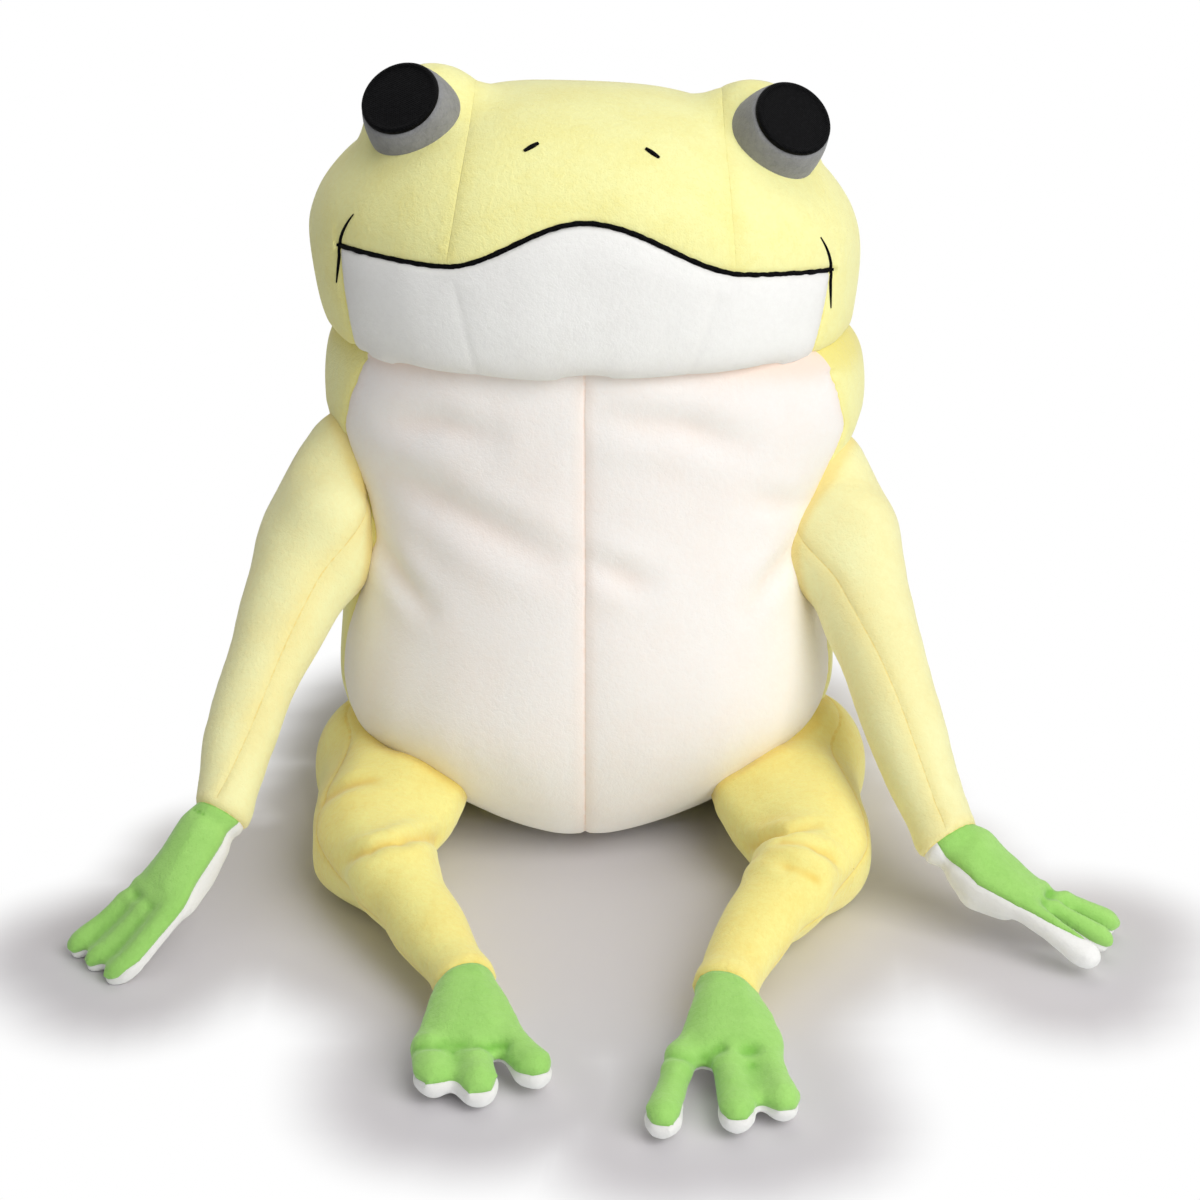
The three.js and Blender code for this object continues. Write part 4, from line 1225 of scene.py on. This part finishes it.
class FROG_OT_legs(bpy.types.Operator):
    """Sews both legs with their feet"""

    bl_idname = "frog.legs"
    bl_label = "Legs"

    def execute(self, context):
        for number, (name, side) in enumerate(SIDES.items()):
            self.leg(context.scene.frog_sizes, name, side, number)
        return {"FINISHED"}

    def leg(self, sizes, name, side, number):
        knee, ankle = (np.array(JOINTS[joint + name]) for joint in ("knee_", "ankle_"))
        root = np.array(HIP[name]) * (side, 1, 1) * MM
        thigh_way, shin_way = unit(knee - root), unit(ankle - knee)
        middle, up = paw_plane("foot_top_" + name, "foot_sole_" + name)
        foot_way = unit(middle - ankle)
        foot_way = unit(foot_way - up * (foot_way @ up))
        cuff = ankle + foot_way * CUFF * MM
        ankle_way = unit(shin_way + foot_way)
        beyond = lambda co: ((co - cuff) @ ankle_way > 0) & (co[:, 1] < cuff[1] + 30 * MM)
        knee_cut = knee - thigh_way * KNEE_CUT * MM
        below_knee = lambda co: (co - knee_cut) @ thigh_way > 0
        ring = plane_seam(
            cuff, ankle_way, where=lambda co: np.linalg.norm(co - cuff, axis=1) < 30 * MM, soft=0.4
        )

        def sole_level(co):
            """Height above the sole's edge, which rises towards the tips of the toes."""
            toes = between((co - ankle) @ foot_way, TOE_START[name], TOE_START[name] + TOE_LENGTH)
            return (co - middle) @ up + SOLE_EDGE * (1 - 2 * toes) * MM

        edge = Seam(sole_level, up, where=beyond, soft=0.2, depth=0.8)

        def outwards(co):
            """How far each point is outwards from the middle of the leg."""
            middle_x = np.interp(co[:, 1], (ankle[1], knee[1]), (side * ankle[0], side * knee[0]))
            return side * co[:, 0] - middle_x

        side_seam = plane_seam(
            knee, (0, -0.2, 1), where=lambda co: ~beyond(co) & (outwards(co) > 0), soft=0.3, depth=0.5
        )
        seams = [ring, edge, side_seam]

        def shape(co):
            """Lifts the inner half of the thigh off the floor, swells its top and pulls the leg in."""
            _, y, z = co.T
            inner = between(side * co[:, 0], 78, 52)
            rise = THIGH_LIFT * inner * between(y, -150, -128) * between(z, 45, 0, top=1.4)
            rise += THIGH_SWELL * between(y, -130, -90) * between(z, 0, 40)
            pull = SHIN_PULL * between(np.abs(y + 178 * MM), 36, 0) * np.maximum(between(z, 26, 0), 0.2)
            at_knee = between(np.abs(y - knee[1] + 4 * MM), 30, 0)
            pull += KNEE_PULL * between(outwards(co), -4, 18) * at_knee * between(z, 42, 12)
            pull += GROIN_PULL * inner * between(y, -136, -114)
            return co + np.outer(rise * MM, (0, 0, 1)) - np.outer(pull * MM, (side, 0, 0))

        parts = [
            copy_of("thigh_filling_" + name, LIMB_COVER * MM),
            copy_of("shin_filling_" + name, LIMB_COVER * MM),
            copy_of("foot_top_" + name, PAW_COVER * MM),
            copy_of("foot_sole_" + name, PAW_COVER * MM),
            ball(knee, KNEE_RADIUS),
            ball(ankle, ANKLE_RADIUS),
            ball(root, HIP_RADIUS),
        ]
        form = sew_limb(
            "leg_form_" + name, parts, seams, seams, sizes, shape,
            lambda co: np.where(beyond(co), 0, (cuff - co) @ ankle_way),
            (38 * MM, 0.4 * MM, 40 + number), LEG_FOLDS[name], 1.0, [plane_seam(knee_cut, thigh_way)],
        )
        thigh = stuffed(
            form, "thigh_" + name, lambda c: ~below_knee(c), sizes.cloth, "limb",
            ("thigh_cover_" + name, "thigh_filling_" + name), 0.7,
        )
        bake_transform(thigh)
        shin = stuffed(
            form, "shin_" + name, lambda c: below_knee(c) & ~beyond(c), sizes.cloth, "limb",
            ("shin_cover_" + name, "shin_filling_" + name), 0.7,
        )
        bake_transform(shin)
        sew_paw(
            form, name, (("foot_", "green", "foot_top_"), ("sole_", "white", "foot_sole_")), beyond,
            lambda c: sole_level(c) > 0, cuff,
        )
        discard(form)


# Eyes and stitching

def eye_frame(name, side):
    """Place of an eye: the middle of its packed pupil, with Z along its axis, away from the head."""
    co = points_of(frame["nodes"]["pupil_" + name])
    middle = co.mean(0)
    axis = np.linalg.svd(co - middle)[2][2]
    if axis @ (middle - np.array(HEAD_CENTRE)) < 0:
        axis = -axis
    axis = unit(axis - np.array(EYE_TURN) * (side, 1, 1))
    middle += np.array(EYE_SHIFT[name]) * MM
    turn = Vector((0, 0, 1)).rotation_difference(Vector(axis)).to_matrix().to_4x4()
    return Matrix.Translation(Vector(middle)) @ turn


def turned(name, profile, sides, place):
    """A round piece from a profile of (radius, height): a disc whose rim is extruded ring by ring."""
    deselect_all()
    bpy.ops.mesh.primitive_circle_add(
        vertices=sides, radius=profile[0][0] * MM, fill_type="TRIFAN", location=(0, 0, profile[0][1] * MM)
    )
    obj = bpy.context.object
    bpy.ops.object.transform_apply(location=True, rotation=True, scale=True)
    bpy.ops.object.mode_set(mode="EDIT")
    bpy.ops.mesh.select_mode(type="EDGE")
    bpy.ops.mesh.select_all(action="SELECT")
    bpy.ops.mesh.region_to_loop()
    radius, height = profile[0]
    for wide, high in profile[1:]:
        bpy.ops.mesh.extrude_edges_move(TRANSFORM_OT_translate={"value": (0, 0, (high - height) * MM)})
        share = wide / radius
        bpy.ops.transform.resize(value=(share, share, 1))
        radius, height = wide, high
    bpy.ops.mesh.edge_face_add()
    bpy.ops.mesh.select_all(action="SELECT")
    bpy.ops.mesh.normals_make_consistent(inside=False)
    bpy.ops.object.mode_set(mode="OBJECT")
    obj.name = obj.data.name = name
    obj.data.transform(place)
    pick(obj)
    bpy.ops.object.shade_smooth_by_angle(angle=math.radians(60))
    return obj


class FROG_OT_eyes(bpy.types.Operator):
    """Makes the felt eye cups and their embroidered pupils"""

    bl_idname = "frog.eyes"
    bl_label = "Eyes"

    def execute(self, context):
        sides = context.scene.frog_sizes.cup_sides
        for name, side in SIDES.items():
            place = eye_frame(name, side)
            cup = turned("eye_cup_" + name + "_felt", EYE_CUP, sides, place)
            store(cup, "fold", np.zeros(len(cup.data.vertices)))
            store(cup, "seam", np.full(len(cup.data.vertices), 50.0))
            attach(dress(cup, "grey", "eye_cup_" + name), "head")
            pupil = turned("pupil_disc_" + name, PUPIL, sides, place)
            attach(dress(pupil, "pupil", "pupil_" + name), "head")
        return {"FINISHED"}


def strand(name, path, radii):
    """A thread along a path, thick and thin as radii say, made a mesh."""
    curve = bpy.data.curves.new(name, "CURVE")
    curve.dimensions = "3D"
    curve.bevel_depth = 1.0
    curve.bevel_resolution = 3
    curve.use_fill_caps = True
    spline = curve.splines.new("POLY")
    spline.points.add(len(path) - 1)
    for point, place, radius in zip(spline.points, path, radii):
        point.co = (*place, 1)
        point.radius = radius
    obj = bpy.data.objects.new(name, curve)
    bpy.context.scene.collection.objects.link(obj)
    pick(obj)
    bpy.ops.object.convert(target="MESH")
    obj = bpy.context.object
    edit(
        obj,
        lambda: bpy.ops.mesh.remove_doubles(threshold=1e-6),
        lambda: bpy.ops.mesh.normals_make_consistent(inside=False),
    )
    pick(obj)
    bpy.ops.object.shade_smooth_by_angle(angle=math.radians(60))
    return obj


def head_surface():
    vertices, faces = [], []
    for name in ("forehead", "cheek_left", "cheek_right", "jaw", "nape"):
        mesh = bpy.data.objects[name].data
        base = len(vertices)
        vertices += [v.co.copy() for v in mesh.vertices]
        faces += [tuple(base + i for i in p.vertices) for p in mesh.polygons]
    return BVHTree.FromPolygons(vertices, faces)


def on_face(tree, x, z, out):
    """A point on the front of the head, from its place in the head's frame."""
    start = HEAD_PLACE @ Vector((x * MM, -0.3, z * MM))
    way = HEAD_PLACE.to_3x3() @ Vector((0, 1, 0))
    place, normal = tree.ray_cast(start, way)[:2]
    return place + normal * out * MM


class FROG_OT_stitching(bpy.types.Operator):
    """Sews the mouth cord, the corners of the mouth and the nostrils"""

    bl_idname = "frog.stitching"
    bl_label = "Mouth and nostrils"

    def execute(self, context):
        tree = head_surface()
        rng = np.random.default_rng(5)
        xs = np.linspace(-MOUTH_HALF_WIDTH + 1.2, MOUTH_HALF_WIDTH - 1.2, 180)
        heights = mouth_height(xs * MM) / MM
        path = [on_face(tree, x, z + 0.08 * math.sin(x * 1.1), 0.3) for x, z in zip(xs, heights)]
        swellings = 1 + 0.05 * np.sin(np.arange(len(xs)) * 0.9) + 0.05 * rng.normal(size=len(xs))
        swellings[:4] *= np.linspace(0.5, 1, 4)
        swellings[-4:] *= np.linspace(1, 0.5, 4)
        cord = strand("mouth_line", path, context.scene.frog_sizes.cord_radius * swellings)
        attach(dress(cord, "thread", "mouth_cord"), "head")
        for name, side in SIDES.items():
            rises = np.linspace(MOUTH_CORNER_RISE, -MOUTH_CORNER_DROP, 26)
            up = rises / MOUTH_CORNER_RISE
            bow = 1.6 - 4.2 * np.clip(up, -0.3, 1) ** 2 - 1.2 * up
            path = [
                on_face(tree, side * (MOUTH_HALF_WIDTH - 4.2 + b), MOUTH_CORNER + rise, 0.1)
                for rise, b in zip(rises, bow)
            ]
            taper = np.sin(np.linspace(0.08, 0.92, 26) * np.pi) ** 0.7
            corner = strand("mouth_end_" + name, path, 0.75 * MM * taper)
            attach(dress(corner, "thread", "mouth_corner_" + name), "head")
            middle, height = NOSTRIL
            path = [
                on_face(
                    tree, side * (middle + step * math.cos(NOSTRIL_SLANT)),
                    height - step * math.sin(NOSTRIL_SLANT), 0.1,
                )
                for step in np.linspace(-3.0, 3.0, 14)
            ]
            taper = 0.65 + 0.5 * np.sin(np.linspace(0.1, 0.95, 14) * np.pi)
            nostril = strand("nose_stitch_" + name, path, 0.85 * MM * taper)
            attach(dress(nostril, "thread", "nostril_" + name), "head")
        return {"FINISHED"}


# Studio

def lamp(name, power, size, place, target):
    light = bpy.data.lights.new(name, "AREA")
    light.shape = "DISK"
    light.size = size
    light.energy = power
    obj = bpy.data.objects.new(name, light)
    bpy.context.scene.collection.objects.link(obj)
    obj.location = place
    obj.rotation_mode = "QUATERNION"
    obj.rotation_quaternion = (Vector(target) - Vector(place)).to_track_quat("-Z", "Y")


def away_from_toy(co):
    """How far each point of the floor is from what stands near the floor, and from the patches between
    the legs and beside the right hand, where the shadows run together."""
    low = [v.co for node in frame["nodes"].values() for v in node.data.vertices if v.co.z < 70 * MM]
    for down in np.linspace(-0.6, 1, 30):
        left, right = (JOINTS["knee_" + name].lerp(JOINTS["ankle_" + name], down) for name in SIDES)
        for start, end in ((left, right), (right, JOINTS["wrist_right"])):
            low += [start.lerp(end, share) for share in np.linspace(0, 1, 30)]
    tree = KDTree(len(low))
    for number, place in enumerate(low):
        tree.insert((place.x, place.y, 0), number)
    tree.balance()
    return [tree.find(place)[2] for place in co]


def floor_paper(colour):
    """Paper that the camera sees darker near the toy, a painted shadow round it, fading into the white
    behind it away from the toy and its shadow; light bounces off pale paper.
    """
    material, wiring, paper = new_material(
        "Floor paper", colour, {"Base Color": srgb(colour), "Roughness": 0.9, "Specular IOR Level": 0.0}
    )
    glow = wiring.add("Emission", {})
    bounce = wiring.add("BsdfDiffuse", {"Color": srgb(FLOOR_BOUNCE)})
    # Painted shadow: the darker paper covers the floor within about 13 mm of the toy and fades out by 56 mm
    away = wiring.ramp(wiring.attribute("away"), 0.013, 0.056)
    seen = wiring.mix_shaders(away, paper.outputs["BSDF"], glow.outputs["Emission"])
    by_camera = wiring.add("LightPath", {}).outputs["Is Camera Ray"]
    surface = wiring.mix_shaders(by_camera, bounce.outputs["BSDF"], seen)
    wiring.fill(wiring.nodes["Material Output"].inputs["Surface"], surface)
    return material


def studio_sky(strength):
    """Even light all round, and plain white where the camera looks past the floor."""
    world = bpy.data.worlds.new("Studio sky")
    world.use_nodes = True
    wiring = Wiring(world.node_tree)
    even = wiring.nodes["Background"]
    wiring.fill(even.inputs["Color"], (1, 1, 1, 1))
    wiring.fill(even.inputs["Strength"], strength)
    white = wiring.add("Background", {"Color": (1, 1, 1, 1), "Strength": 1.0})
    path = wiring.add("LightPath", {})
    clear = wiring.maths("MAXIMUM", path.outputs["Is Camera Ray"], path.outputs["Is Glossy Ray"])
    clear = wiring.maths("MAXIMUM", clear, path.outputs["Is Transmission Ray"])
    surface = wiring.mix_shaders(clear, even.outputs["Background"], white.outputs["Background"])
    wiring.fill(wiring.nodes["World Output"].inputs["Surface"], surface)
    return world


class FROG_OT_studio(bpy.types.Operator):
    """Sets up the floor, lamps, sky and camera"""

    bl_idname = "frog.studio"
    bl_label = "Studio"

    def execute(self, context):
        studio, scene = context.scene.frog_studio, context.scene
        deselect_all()
        bpy.ops.mesh.primitive_grid_add(x_subdivisions=240, y_subdivisions=240, size=2, location=(0, 0, 0))
        floor = context.object
        floor.name = "floor"
        co = points_of(floor)
        co[:, :2] = np.sign(co[:, :2]) * np.abs(co[:, :2]) ** 2.5 * 6 + (0, -0.1)
        move_points(floor, co)
        store(floor, "away", away_from_toy(co))
        floor.data.materials.append(floor_paper(studio.floor))
        lamp("Key", studio.key, 1.9, (1.12, -1.4, 1.3), (0, -0.05, 0.15))
        lamp("Fill", studio.fill, 1.2, (-1.3, -0.9, 0.7), (0, -0.05, 0.15))
        lamp("Front", studio.front, 1.4, (0.75, -0.95, 1.65), (0, -0.1, 0.1))
        lamp("Top", studio.top, 1.4, (0.1, 0.35, 1.5), (0, -0.05, 0.1))
        scene.world = studio_sky(studio.sky)
        camera = bpy.data.cameras.new("Camera")
        camera.lens = studio.lens
        camera.sensor_width = 36
        camera.clip_start, camera.clip_end = 0.05, 20
        viewer = bpy.data.objects.new("Camera", camera)
        scene.collection.objects.link(viewer)
        viewer.location = CAMERA_PLACE
        viewer.rotation_euler = (CAMERA_TILT, 0, 0)
        scene.camera = viewer
        scene.view_settings.view_transform = "Standard"
        return {"FINISHED"}


OPERATORS = (
    FROG_OT_studio, FROG_OT_torso, FROG_OT_head, FROG_OT_arms, FROG_OT_legs, FROG_OT_eyes,
    FROG_OT_stitching,
)


class FROG_PT_panel(bpy.types.Panel):
    bl_idname = "FROG_PT_panel"
    bl_label = "Plush frog"
    bl_space_type = "VIEW_3D"
    bl_region_type = "UI"
    bl_category = "Frog"

    def draw(self, context):
        for operator in OPERATORS:
            self.layout.operator(operator.bl_idname)
        for group in ("frog_sizes", "frog_colours", "frog_studio"):
            owner = getattr(context.scene, group)
            for name in owner.__annotations__:
                self.layout.prop(owner, name)


CLASSES = (FrogSizes, FrogColours, FrogStudio, *OPERATORS, FROG_PT_panel)


def register():
    for each in CLASSES:
        bpy.utils.register_class(each)
    bpy.types.Scene.frog_sizes = PointerProperty(type=FrogSizes)
    bpy.types.Scene.frog_colours = PointerProperty(type=FrogColours)
    bpy.types.Scene.frog_studio = PointerProperty(type=FrogStudio)


def unregister():
    for name in ("frog_sizes", "frog_colours", "frog_studio"):
        delattr(bpy.types.Scene, name)
    for each in reversed(CLASSES):
        bpy.utils.unregister_class(each)


def main():
    register()
    bpy.ops.frog.studio()
    bpy.ops.frog.torso()
    bpy.ops.frog.head()
    bpy.ops.frog.arms()
    bpy.ops.frog.legs()
    bpy.ops.frog.eyes()
    bpy.ops.frog.stitching()


if __name__ == "__main__":
    main()
